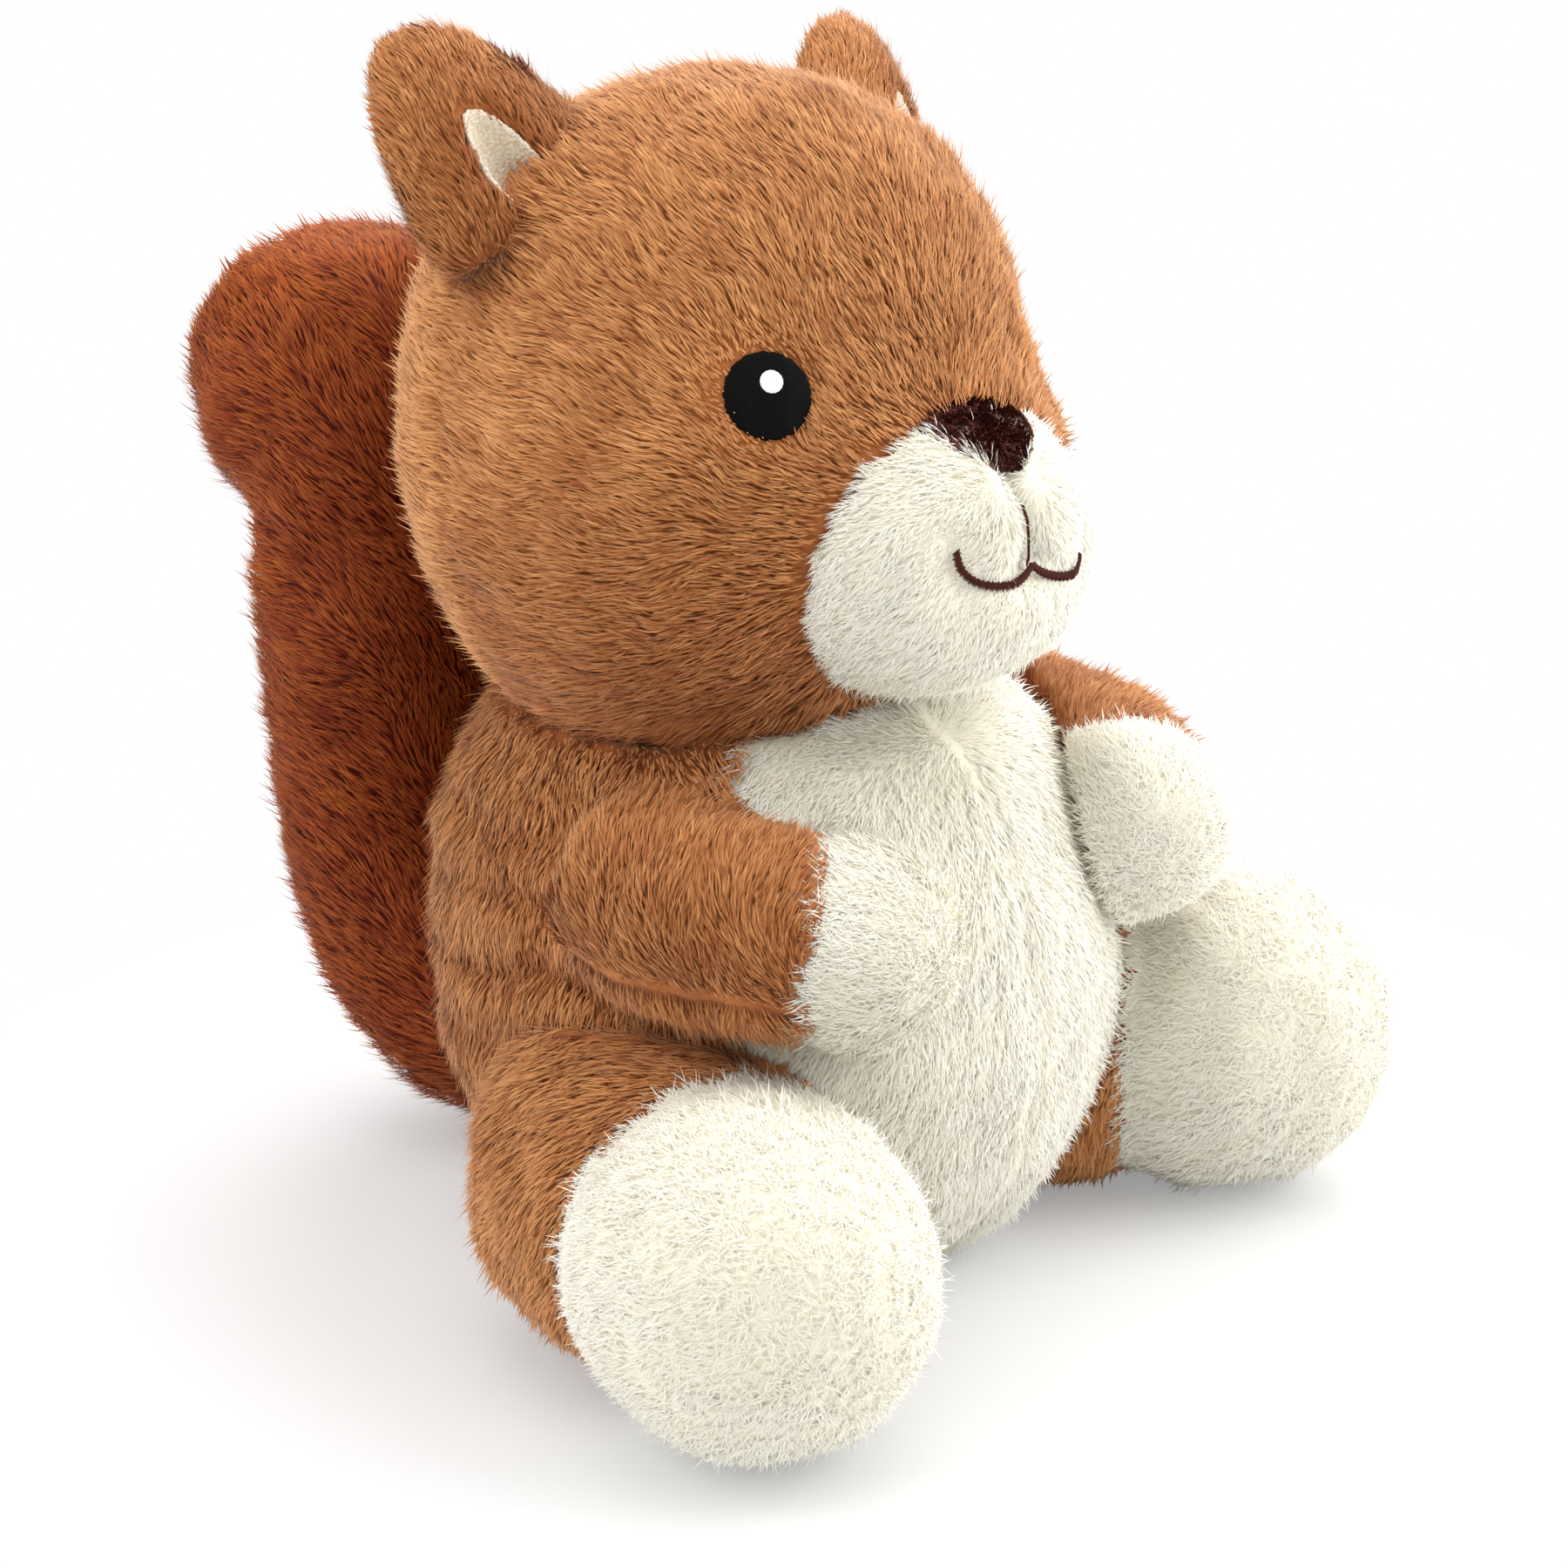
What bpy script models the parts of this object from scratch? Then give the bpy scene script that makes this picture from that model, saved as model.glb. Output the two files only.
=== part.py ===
"""Plush squirrel, a soft toy for a dog, sitting up with its tail curled behind it.

Metres, +Z up. The toy sits on the plane z = 0 and looks along -Y, so its own right side is at -X.
Every sewn piece is a stuffed solid of its own. Where two pieces are sewn together or press on each
other, one is cut by the other's form, and SEAM_GAP is left between their faces.
"""

import math

import bmesh
import bpy
import numpy as np
from mathutils import Matrix, Vector
from mathutils.bvhtree import BVHTree

MM = 0.001
SEAM_GAP = 0.3 * MM

# The body, a stuffed barrel that sits on its flat underside.
TORSO_WIDTH = 130 * MM
TORSO_DEPTH = 136 * MM
TORSO_HEIGHT = 120 * MM
TORSO_MIDDLE_Y = -15 * MM
TORSO_LEAN = 7 * MM
# Share of the height, and the share of width and depth that the body has there.
TORSO_SHAPE = ((0.0, 0.56), (0.08, 0.72), (0.20, 0.87), (0.35, 0.96), (0.5, 1.0), (0.67, 0.965),
               (0.82, 0.88), (0.93, 0.74), (1.0, 0.56))
TORSO_FULLNESS = 2.15
FLANK_FOLD_HEIGHTS = (61 * MM, 75 * MM)
FLANK_FOLD_DEPTH = 2.6 * MM
FLANK_FOLD_WIDTH = 4.2 * MM
FLANK_FOLD_TURN = math.radians(112)
FLANK_FOLD_SPREAD = math.radians(32)

# The white belly panel, let into the front of the body.
BELLY_TOP_WIDTH = 56 * MM
BELLY_WIDTH = 104 * MM
BELLY_FOOT_WIDTH = 46 * MM
BELLY_BOTTOM = 5 * MM
BELLY_WIDEST = 55 * MM
BELLY_THICKNESS = 5 * MM

# The head, a ball with full cheeks that narrows at the brow and sinks a little into the neck.
HEAD_WIDTH = 130 * MM
HEAD_FRONT = 55 * MM
HEAD_BACK = 58 * MM
HEAD_TOP = 63 * MM
HEAD_BOTTOM = 68 * MM
HEAD_MIDDLE_Y = -5 * MM
NECK_SINK = 22 * MM
HEAD_FULLNESS = 2.2
BROW_TAPER = 1.72
CHEEK_TAPER = 2.5
CHEEK_TOP = math.radians(8)
CHEEK_BLEND = math.radians(4)
SKULL_ROUNDNESS = 2.1
HEAD_TILT = math.radians(5.6)
SNOUT_SWELL = 5 * MM
SNOUT_SPREAD = math.radians(28)
SNOUT_RISE = math.radians(-14)

# The white muzzle on the lower face.
MUZZLE_WIDTH = 72 * MM
MUZZLE_HEIGHT = 58 * MM
MUZZLE_REACH = 22 * MM
MUZZLE_ROOT = 12 * MM
MUZZLE_DROP = 18 * MM
MUZZLE_FULLNESS = 2.7
MUZZLE_SLOPE = 17 * MM
MUZZLE_CLEFT = 4.5 * MM
MUZZLE_CLEFT_WIDTH = 9 * MM

# The nose, a patch of short pile on top of the muzzle.
NOSE_WIDTH = 30 * MM
NOSE_HEIGHT = 14 * MM
NOSE_THICKNESS = 1.8 * MM
NOSE_RISE = 15 * MM
NOSE_PITCH = math.radians(42)

# The mouth, one embroidered line: two arcs that meet below a short upright stitch.
MOUTH_WIDTH = 37 * MM
MOUTH_DIP = 5 * MM
MOUTH_SLANT = math.radians(9)
MOUTH_DIMPLE = 4.5 * MM
MOUTH_DIMPLE_WIDTH = 8 * MM
LIP_STITCH = 11 * MM
MOUTH_THREAD = 1.6 * MM
LIP_THREAD = 1.3 * MM

# The eyes, embroidered discs with a white glint.
EYE_DIAMETER = 15.8 * MM
EYE_THICKNESS = 1.2 * MM
EYE_RISE = 11.5 * MM
EYE_SPACING = 80 * MM
GLINT_DIAMETER = 5 * MM
GLINT_THICKNESS = 0.8 * MM
GLINT_RISE = 2.4 * MM
GLINT_SHIFT = 0.6 * MM

# The ears, rounded cones with a lined pocket in front.
EAR_HEIGHT = 33 * MM
EAR_WIDTH = 42 * MM
EAR_DEPTH = 23 * MM
EAR_SINK = 7 * MM
EAR_SPACING = 99 * MM
EAR_SETBACK = 13 * MM
EAR_OUTWARD = math.radians(30)
EAR_BACKWARD = math.radians(30)
EAR_TIP_FULLNESS = 2.5
EAR_SLIMMING = 0.16
POCKET_HEIGHT = 25 * MM
POCKET_WIDTH = 12 * MM
POCKET_DEPTH = 8 * MM
POCKET_RISE = 6 * MM
POCKET_OUT = 3 * MM
LINING_THICKNESS = 1.2 * MM

# The arms, bent round the belly, and the white paws sewn to their ends.
SHOULDER_HEIGHT = 90 * MM
SHOULDER_OUTWARD = math.radians(14)
ARM_BEND = 38 * MM
SHOULDER_ROUND = 12 * MM
ARM_THICKNESS = 38 * MM
WRIST_THICKNESS = 38 * MM
WRIST_SPACING = 94 * MM
WRIST_LIFT = 5 * MM
WRIST_HEIGHT = 86 * MM
PAW_LENGTH = 27 * MM
PAW_THICKNESS = 39.5 * MM
PAW_INWARD = math.radians(40)

# The legs, stretched forward and apart, and the big round feet.
HIP_SPACING = 87 * MM
HIP_Y = -15 * MM
LEG_SPLAY = math.radians(28)
LEG_LENGTH = 47 * MM
HIP_BACK = 14 * MM
HIP_ROUND = 27 * MM
HIP_THICKNESS = 73 * MM
ANKLE_THICKNESS = 63 * MM
FOOT_THICKNESS = 68 * MM
FOOT_LENGTH = 51 * MM
SOLE_FLAT = 1.2 * MM

# The tail, which stands up behind the back and rolls over backwards at its tip.
TAIL_HEIGHT = 189 * MM
TAIL_WIDTH = 70 * MM
TAIL_THICKNESS = 52 * MM
TAIL_STANDOFF = 35 * MM
TAIL_ROOT_HEIGHT = 34 * MM
TAIL_ROOT_SINK = 20 * MM
TAIL_CURL = 11 * MM

# Facets.
HEAD_SIDES, HEAD_RINGS = 36, 18
TORSO_SIDES, TORSO_RINGS = 36, 13
TAIL_SIDES, TAIL_RINGS, TAIL_TIP_RINGS = 24, 15, 10
LIMB_SIDES, LIMB_RINGS, ARM_RINGS = 24, 3, 6
DOME_RINGS, SWELL_RINGS = 6, 2
EAR_SIDES, EAR_RINGS = 20, 7
POCKET_SIDES, POCKET_RINGS = 16, 9
MUZZLE_SIDES, MUZZLE_RINGS = 32, 10
DISC_SIDES = 24
THREAD_SIDES = 8
SMOOTH_ANGLE = math.radians(50)

RIGHT, LEFT = -1, 1
SIDE_NAMES = ((RIGHT, "right"), (LEFT, "left"))

BROWN = (0.376, 0.144, 0.055)
RUSSET = (0.141, 0.021, 0.004)
CREAM = (0.79, 0.765, 0.665)
LINING = (0.737, 0.604, 0.451)
NOSE_BROWN = (0.061, 0.015, 0.011)
EYE_BLACK = (0.0035, 0.003, 0.003)
GLINT_WHITE = (0.9, 0.9, 0.88)
THREAD_BROWN = (0.05, 0.016, 0.012)


def plush(name, colour, roughness=0.95):
    """A matt fabric material."""
    material = bpy.data.materials.new(name)
    material.use_nodes = True
    shader = material.node_tree.nodes["Principled BSDF"]
    shader.inputs["Base Color"].default_value = (*colour, 1)
    shader.inputs["Roughness"].default_value = roughness
    shader.inputs["Metallic"].default_value = 0
    return material


def skin(name, rings, origin, root=None, tip=None):
    """One closed body over rings of points. An end without a pole point is closed flat."""
    body = bmesh.new()
    loops = [[body.verts.new(point - origin) for point in ring] for ring in rings]
    for near, far in zip(loops, loops[1:]):
        for i in range(len(near)):
            j = (i + 1) % len(near)
            body.faces.new((near[i], near[j], far[j], far[i]))
    for loop, pole in ((loops[0], root), (loops[-1], tip)):
        if pole is None:
            body.faces.new(loop)
            continue
        peak = body.verts.new(pole - origin)
        for i in range(len(loop)):
            body.faces.new((loop[i], loop[(i + 1) % len(loop)], peak))
    bmesh.ops.recalc_face_normals(body, faces=body.faces)
    mesh = bpy.data.meshes.new(name)
    body.to_mesh(mesh)
    body.free()
    mesh.shade_smooth()
    mesh.set_sharp_from_angle(angle=SMOOTH_ANGLE)
    piece = bpy.data.objects.new(name, mesh)
    piece.location = origin
    bpy.context.scene.collection.objects.link(piece)
    return piece


def hang(piece, frame):
    """Parent a piece to a frame, in the place where it was built while that frame stood level."""
    piece.parent = frame
    piece.location -= frame.location
    return piece


def finish(piece, material, frame):
    """Give a piece its fabric and hang it on the toy or on the head."""
    piece.data.materials.append(material)
    return hang(piece, frame)


def guide(piece, frame):
    """Keep a body as a cutter only."""
    piece.hide_render = True
    piece.display_type = "WIRE"
    return hang(piece, frame)


def trim(piece, other, operation="DIFFERENCE"):
    """Cut a piece by another body, or keep only what both hold."""
    boolean = piece.modifiers.new(f"{operation.lower()}_{other.name}", "BOOLEAN")
    boolean.operation = operation
    boolean.object = other
    boolean.solver = "EXACT"
    return piece


def through(keys, count):
    """Rows of numbers on a smooth curve through the key rows, as a Catmull-Rom spline."""
    keys = np.array(keys, dtype=float)
    padded = np.vstack([2 * keys[0] - keys[1], keys, 2 * keys[-1] - keys[-2]])
    rows = []
    for step in range(count):
        place = step / (count - 1) * (len(keys) - 1)
        span = min(int(place), len(keys) - 2)
        t = place - span
        a, b, c, d = padded[span:span + 4]
        rows.append(0.5 * (2 * b + (c - a) * t + (2 * a - 5 * b + 4 * c - d) * t ** 2
                           + (3 * b - a - 3 * c + d) * t ** 3))
    return rows


def oval(centre, across, upward, sides, fullness=2.0, ground=None):
    """A ring of points round a centre, cut off level with the ground where it has one."""
    ring = []
    for k in range(sides):
        turn = 2 * math.pi * k / sides
        reach = (abs(math.cos(turn)) ** fullness + abs(math.sin(turn)) ** fullness) ** (-1 / fullness)
        point = centre + (across * math.cos(turn) + upward * math.sin(turn)) * reach
        if ground is not None:
            point.z = max(point.z, ground)
        ring.append(point)
    return ring


def stuffed_end(length, seam, full, swell):
    """Distances and radii of a stuffed end, which swells from its seam and rounds over to its tip."""
    rows = []
    for k in range(SWELL_RINGS):
        turn = math.pi / 2 * k / SWELL_RINGS
        rows.append((swell * k / SWELL_RINGS, seam + (full - seam) * math.sin(turn)))
    for k in range(DOME_RINGS):
        turn = math.pi / 2 * k / DOME_RINGS
        rows.append((swell + (length - swell) * math.sin(turn), full * math.cos(turn) ** 0.85))
    return rows


# The body

def torso_share(height):
    """Share of the full width and depth that the body has at a height."""
    heights = [row[0] * TORSO_HEIGHT for row in TORSO_SHAPE]
    place = float(np.interp(height, heights, range(len(heights))))
    rows = through(TORSO_SHAPE, (len(TORSO_SHAPE) - 1) * 8 + 1)
    return float(np.interp(place * 8, range(len(rows)), [row[1] for row in rows]))


def torso_middle(height):
    """The body's middle line leans back towards the neck."""
    return TORSO_MIDDLE_Y + TORSO_LEAN * (height / TORSO_HEIGHT) ** 2


def torso_front(height):
    return torso_middle(height) - TORSO_DEPTH / 2 * torso_share(height)


def torso_back(height):
    return torso_middle(height) + TORSO_DEPTH / 2 * torso_share(height)


def flank_fold(height, turn):
    """How deep the creases at the waist are, at a height and a turn away from the front."""
    side = math.exp(-((abs(turn) - FLANK_FOLD_TURN) / FLANK_FOLD_SPREAD) ** 2)
    folds = sum(math.exp(-((height - fold) / FLANK_FOLD_WIDTH) ** 2) for fold in FLANK_FOLD_HEIGHTS)
    return FLANK_FOLD_DEPTH * side * folds


def torso_body(name, grow):
    """The body's form, grown outwards all round or, below zero, shrunk."""
    heights = {TORSO_HEIGHT * k / TORSO_RINGS for k in range(TORSO_RINGS + 1)}
    for fold in FLANK_FOLD_HEIGHTS:
        heights |= {fold - FLANK_FOLD_WIDTH, fold, fold + FLANK_FOLD_WIDTH}
    rings = []
    for height in sorted(heights):
        share = torso_share(height)
        middle = Vector((0, torso_middle(height), height))
        if height == 0:
            middle.z -= grow
        if height == TORSO_HEIGHT:
            middle.z += grow
        ring = []
        for k in range(TORSO_SIDES):
            turn = 2 * math.pi * (k / TORSO_SIDES - 0.5)
            depth = grow - flank_fold(height, turn)
            wide = math.sin(turn) * (TORSO_WIDTH / 2 * share + depth)
            deep = -math.cos(turn) * (TORSO_DEPTH / 2 * share + depth)
            reach = (abs(math.sin(turn)) ** TORSO_FULLNESS
                     + abs(math.cos(turn)) ** TORSO_FULLNESS) ** (-1 / TORSO_FULLNESS)
            ring.append(middle + Vector((wide, deep, 0)) * reach)
        rings.append(ring)
    return skin(name, rings, Vector((0, TORSO_MIDDLE_Y, 0)))


def belly_block(name, grow):
    """An upright block with the belly panel's outline, long enough to pass through the front."""
    top = TORSO_HEIGHT + NECK_SINK
    keys = [(BELLY_BOTTOM - grow, BELLY_FOOT_WIDTH / 2),
            ((BELLY_BOTTOM + BELLY_WIDEST) / 2, BELLY_WIDTH * 0.32 + BELLY_FOOT_WIDTH * 0.25),
            (BELLY_WIDEST, BELLY_WIDTH / 2),
            ((BELLY_WIDEST + TORSO_HEIGHT) / 2, BELLY_WIDTH * 0.28 + BELLY_TOP_WIDTH * 0.25),
            (TORSO_HEIGHT, BELLY_TOP_WIDTH / 2),
            (top, BELLY_TOP_WIDTH / 2)]
    edge = through(keys, 17)
    outline = [(half + grow, height) for height, half in edge]
    outline += [(-half - grow, height) for height, half in reversed(edge)]
    front = torso_front(BELLY_WIDEST) - BELLY_THICKNESS * 2
    rings = [[Vector((x, y, z)) for x, z in outline] for y in (TORSO_MIDDLE_Y, front)]
    return skin(name, rings, Vector((0, TORSO_MIDDLE_Y, BELLY_WIDEST)))


# The head

HEAD_MIDDLE = Vector((0, HEAD_MIDDLE_Y, TORSO_HEIGHT + HEAD_BOTTOM - NECK_SINK))
SNOUT_WAY = Vector((0, -math.cos(SNOUT_RISE), math.sin(SNOUT_RISE)))


def head_point(rise, turn, grow=0.0):
    """A point on the head: rise is up from level, turn is away from the front, both in radians."""
    height = (HEAD_TOP if rise > 0 else HEAD_BOTTOM) + grow
    share = (1 - abs(math.sin(rise)) ** HEAD_FULLNESS) ** (1 / HEAD_FULLNESS)
    forward = math.cos(turn) > 0
    full = 1 / (1 + math.exp((rise - CHEEK_TOP) / CHEEK_BLEND))
    taper = BROW_TAPER + (CHEEK_TAPER - BROW_TAPER) * full if forward else SKULL_ROUNDNESS
    depth = (HEAD_FRONT if forward else HEAD_BACK) + grow
    wide = abs(math.sin(turn)) / (HEAD_WIDTH / 2 + grow)
    deep = abs(math.cos(turn)) / depth
    reach = share * (wide ** taper + deep ** taper) ** (-1 / taper)
    arm = Vector((math.sin(turn) * reach, -math.cos(turn) * reach, height * math.sin(rise)))
    swell = SNOUT_SWELL * math.exp(-(arm.angle(SNOUT_WAY) / SNOUT_SPREAD) ** 2)
    return HEAD_MIDDLE + arm + arm.normalized() * swell


def head_body(name, grow):
    rings = []
    for row in range(1, HEAD_RINGS):
        rise = math.pi * (row / HEAD_RINGS - 0.5)
        rings.append([head_point(rise, 2 * math.pi * k / HEAD_SIDES, grow) for k in range(HEAD_SIDES)])
    foot = HEAD_MIDDLE - Vector((0, 0, HEAD_BOTTOM + grow))
    crown = HEAD_MIDDLE + Vector((0, 0, HEAD_TOP + grow))
    return skin(name, rings, HEAD_MIDDLE, root=foot, tip=crown)


def surface_of(piece):
    """A search tree over the faces of a plain body, in world places."""
    points = [piece.location + vertex.co for vertex in piece.data.vertices]
    faces = [list(face.vertices) for face in piece.data.polygons]
    return BVHTree.FromPolygons(points, faces)


def onto(surface, x, z):
    """Where a line from far in front, level along +Y, meets a surface, and the way it faces there."""
    point, normal, _, _ = surface.ray_cast(Vector((x, -1, z)), Vector((0, 1, 0)))
    return point, normal


def facing(normal, upward=Vector((0, 0, 1))):
    """Axes of a patch that lies on a surface: across, up along the surface, and out of it."""
    out = normal.normalized()
    across = upward.cross(out).normalized()
    return across, out.cross(across), out


# The muzzle, nose and mouth

MUZZLE_MIDDLE = HEAD_MIDDLE + Vector((0, -HEAD_FRONT, -MUZZLE_DROP))


def hollow(wide, high):
    """How far the muzzle is set back: the valley under the nose, the mouth corners, the bridge."""
    above = 1 / (1 + math.exp(-(high + MUZZLE_CLEFT_WIDTH / 2) / (MUZZLE_CLEFT_WIDTH / 3)))
    valley = MUZZLE_CLEFT * above * math.exp(-(wide / MUZZLE_CLEFT_WIDTH) ** 2)
    corner = math.hypot(abs(wide) - MOUTH_WIDTH / 2, high) / MOUTH_DIMPLE_WIDTH
    bridge = MUZZLE_SLOPE * (max(0.0, high) / (MUZZLE_HEIGHT / 2)) ** 2
    return valley + MOUTH_DIMPLE * math.exp(-corner ** 2) + bridge


def muzzle_body(name, grow):
    """A dome that comes out of the face and slopes back to the bridge of the nose."""
    rings = []
    for row in range(MUZZLE_RINGS):
        turn = math.pi / 2 * row / MUZZLE_RINGS
        share = math.cos(turn) ** (2 / MUZZLE_FULLNESS)
        ahead = (MUZZLE_ROOT + MUZZLE_REACH + grow) * math.sin(turn) - MUZZLE_ROOT
        centre = MUZZLE_MIDDLE - Vector((0, ahead, 0))
        ring = []
        for k in range(MUZZLE_SIDES):
            around = 2 * math.pi * k / MUZZLE_SIDES
            wide = math.cos(around) * (MUZZLE_WIDTH / 2 + grow) * share
            high = math.sin(around) * (MUZZLE_HEIGHT / 2 + grow) * share
            ring.append(centre + Vector((wide, hollow(wide, high) * math.sin(turn) ** 2, high)))
        rings.append(ring)
    peak = MUZZLE_MIDDLE - Vector((0, MUZZLE_REACH + grow - hollow(0, 0), 0))
    return skin(name, rings, MUZZLE_MIDDLE, tip=peak)


def nose_block(surfaces):
    """A block with the nose's outline, a wide triangle with round corners and its point down."""
    out = Vector((0, -math.cos(NOSE_PITCH), math.sin(NOSE_PITCH)))
    start = MUZZLE_MIDDLE + Vector((0, 0, NOSE_RISE)) + out
    hits = [surface.ray_cast(start, -out)[0] for surface in surfaces]
    place = max((hit for hit in hits if hit), key=lambda hit: hit.dot(out))
    across, upward, _ = facing(out)
    rings = []
    for reach in (-NOSE_WIDTH / 2, NOSE_WIDTH / 2):
        ring = []
        for k in range(DISC_SIDES):
            turn = 2 * math.pi * k / DISC_SIDES
            narrow = 0.78 + 0.22 * math.sin(turn)
            flat = 1 - 0.15 * max(0.0, math.sin(turn)) ** 2
            ring.append(place + out * reach + across * math.cos(turn) * NOSE_WIDTH / 2 * narrow
                        + upward * math.sin(turn) * NOSE_HEIGHT / 2 * flat)
        rings.append(ring)
    return skin("nose", rings, place)


def thread_along(name, face, stops, thickness):
    """An embroidered line laid on the face through a list of places given as x and height."""
    line = []
    for x, z in through(stops, 4 * (len(stops) - 1) + 1):
        point, normal = onto(face, x, z)
        line.append((point, normal.normalized()))
    rings = []
    for k, (point, normal) in enumerate(line):
        ahead = line[min(k + 1, len(line) - 1)][0] - line[max(k - 1, 0)][0]
        across = ahead.cross(normal).normalized()
        centre = point + normal * (MOUTH_THREAD / 2 + SEAM_GAP)
        rings.append(oval(centre, across * thickness / 2, normal * thickness / 2, THREAD_SIDES))
    return skin(name, rings, line[0][0])


def disc_block(name, place, normal, diameter, depth, sides=DISC_SIDES):
    """A round block that passes through a surface, to cut a disc out of a skin."""
    across, upward, out = facing(normal)
    rings = [oval(place + out * reach, across * diameter / 2, upward * diameter / 2, sides)
             for reach in (-depth, depth)]
    return skin(name, rings, place)


# The ears

def ear_axes(side):
    """Across, forward and along an ear, which leans out and back."""
    along = Vector((side * math.tan(EAR_OUTWARD), math.tan(EAR_BACKWARD), 1)).normalized()
    across = Vector((0, 1, 0)).cross(along).normalized()
    return across, across.cross(along).normalized(), along


def ear_body(name, root, axes, grow):
    across, forward, along = axes
    wide, deep = EAR_WIDTH / 2, EAR_DEPTH / 2
    rings = [oval(root - along * EAR_SINK, across * (wide + grow), forward * (deep + grow), EAR_SIDES)]
    for row in range(EAR_RINGS):
        turn = math.pi / 2 * row / EAR_RINGS
        share = math.cos(turn) ** (2 / EAR_TIP_FULLNESS)
        slim = 1 - EAR_SLIMMING * math.sin(turn)
        rings.append(oval(root + along * (EAR_HEIGHT + grow) * math.sin(turn),
                          across * (wide * slim + grow) * share,
                          forward * (deep * slim + grow) * share, EAR_SIDES))
    return skin(name, rings, root, tip=root + along * (EAR_HEIGHT + grow))


def pocket_body(name, root, axes, grow):
    """The hollow in front of an ear: a drop shape, wide at the head and pointed towards the tip."""
    across, forward, along = axes
    outward = math.copysign(POCKET_OUT, along.x)
    middle = root + along * POCKET_RISE + forward * EAR_DEPTH / 2 + across * outward
    rings = []
    for row in range(1, POCKET_RINGS):
        turn = math.pi * row / POCKET_RINGS
        share = math.sin(turn) * (1 + 0.35 * math.cos(turn))
        rings.append(oval(middle - along * (POCKET_HEIGHT / 2 + grow) * math.cos(turn),
                          across * (POCKET_WIDTH / 2 + grow) * share,
                          forward * (POCKET_DEPTH + grow) * share, POCKET_SIDES))
    ends = [middle - along * (POCKET_HEIGHT / 2 + grow), middle + along * (POCKET_HEIGHT / 2 + grow)]
    return skin(name, rings, middle, root=ends[0], tip=ends[1])


# The arms and legs

def arm_line(side):
    """The arm's middle line from shoulder to wrist, and the way the paw points."""
    wrist_front = torso_front(WRIST_HEIGHT) + TORSO_DEPTH / 8
    wrist = Vector((WRIST_SPACING / 2, wrist_front - WRIST_LIFT, WRIST_HEIGHT))
    bend = wrist - Vector((math.cos(PAW_INWARD), -math.sin(PAW_INWARD), 0)) * ARM_BEND
    line = []
    for k in range(ARM_RINGS):
        left = 1 - k / (ARM_RINGS - 1)
        turn = -PAW_INWARD + (PAW_INWARD + SHOULDER_OUTWARD) * left
        rise = (SHOULDER_HEIGHT - WRIST_HEIGHT) * left
        line.append(bend + Vector((math.cos(turn) * ARM_BEND, math.sin(turn) * ARM_BEND, rise)))
    inward = Vector((-math.sin(PAW_INWARD), -math.cos(PAW_INWARD), -0.1)).normalized()
    for point in (*line, inward):
        point.x *= side
    return line, inward


def swept(name, centres, radii, ahead, origin, root=None, tip=None, ground=None):
    """A limb with round sections, set square to the way it runs."""
    rings = []
    for centre, radius, way in zip(centres, radii, ahead):
        across = way.cross(Vector((0, 0, 1))).normalized()
        upward = across.cross(way).normalized()
        rings.append(oval(centre, across * radius, upward * radius, LIMB_SIDES, ground=ground))
    return skin(name, rings, origin, root=root, tip=tip)


def rounded_start(centre, ahead, radius, length):
    """Centres and radii of the rings that round off the near end of a limb, pole first."""
    turns = [math.pi / 2 * k / DOME_RINGS for k in range(1, DOME_RINGS)]
    centres = [centre - ahead * length * math.cos(turn) for turn in turns]
    return centres, [radius * math.sin(turn) ** 0.85 for turn in turns]


def arm_body(name, side):
    line, inward = arm_line(side)
    ways = [(line[min(k + 1, len(line) - 1)] - line[max(k - 1, 0)]).normalized() for k in range(len(line))]
    ways[-1] = inward
    centres, radii = rounded_start(line[0], ways[0], ARM_THICKNESS / 2, SHOULDER_ROUND)
    ways = [ways[0]] * len(centres) + ways
    radii += [(ARM_THICKNESS + (WRIST_THICKNESS - ARM_THICKNESS) * k / (len(line) - 1)) / 2
              for k in range(len(line))]
    return swept(name, centres + line, radii, ways, line[0], root=line[0] - ways[0] * SHOULDER_ROUND)


def paw_body(name, side):
    line, inward = arm_line(side)
    seam = line[-1] + inward * SEAM_GAP
    rows = stuffed_end(PAW_LENGTH, WRIST_THICKNESS / 2, PAW_THICKNESS / 2, PAW_LENGTH / 4)
    centres = [seam + inward * distance for distance, _ in rows]
    return swept(name, centres, [radius for _, radius in rows], [inward] * len(rows), seam,
                 tip=seam + inward * PAW_LENGTH)


def leg_axis(side):
    hip = Vector((side * HIP_SPACING / 2, HIP_Y, FOOT_THICKNESS / 2 - SOLE_FLAT))
    return hip, Vector((side * math.sin(LEG_SPLAY), -math.cos(LEG_SPLAY), 0))


def leg_body(name, side):
    hip, ahead = leg_axis(side)
    full = hip + ahead * (HIP_ROUND - HIP_BACK)
    centres, radii = rounded_start(full, ahead, HIP_THICKNESS / 2, HIP_ROUND)
    for k in range(LIMB_RINGS + 1):
        share = k / LIMB_RINGS
        centres.append(full.lerp(hip + ahead * LEG_LENGTH, share))
        radii.append((HIP_THICKNESS + (ANKLE_THICKNESS - HIP_THICKNESS) * share ** 2) / 2)
    return swept(name, centres, radii, [ahead] * len(centres), hip, root=hip - ahead * HIP_BACK, ground=0.0)


def foot_body(name, side):
    hip, ahead = leg_axis(side)
    seam = hip + ahead * (LEG_LENGTH + SEAM_GAP)
    rows = stuffed_end(FOOT_LENGTH, ANKLE_THICKNESS / 2, FOOT_THICKNESS / 2, FOOT_LENGTH / 4)
    centres = [seam + ahead * distance for distance, _ in rows]
    return swept(name, centres, [radius for _, radius in rows], [ahead] * len(rows), seam,
                 tip=seam + ahead * FOOT_LENGTH, ground=0.0)


# The tail

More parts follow.
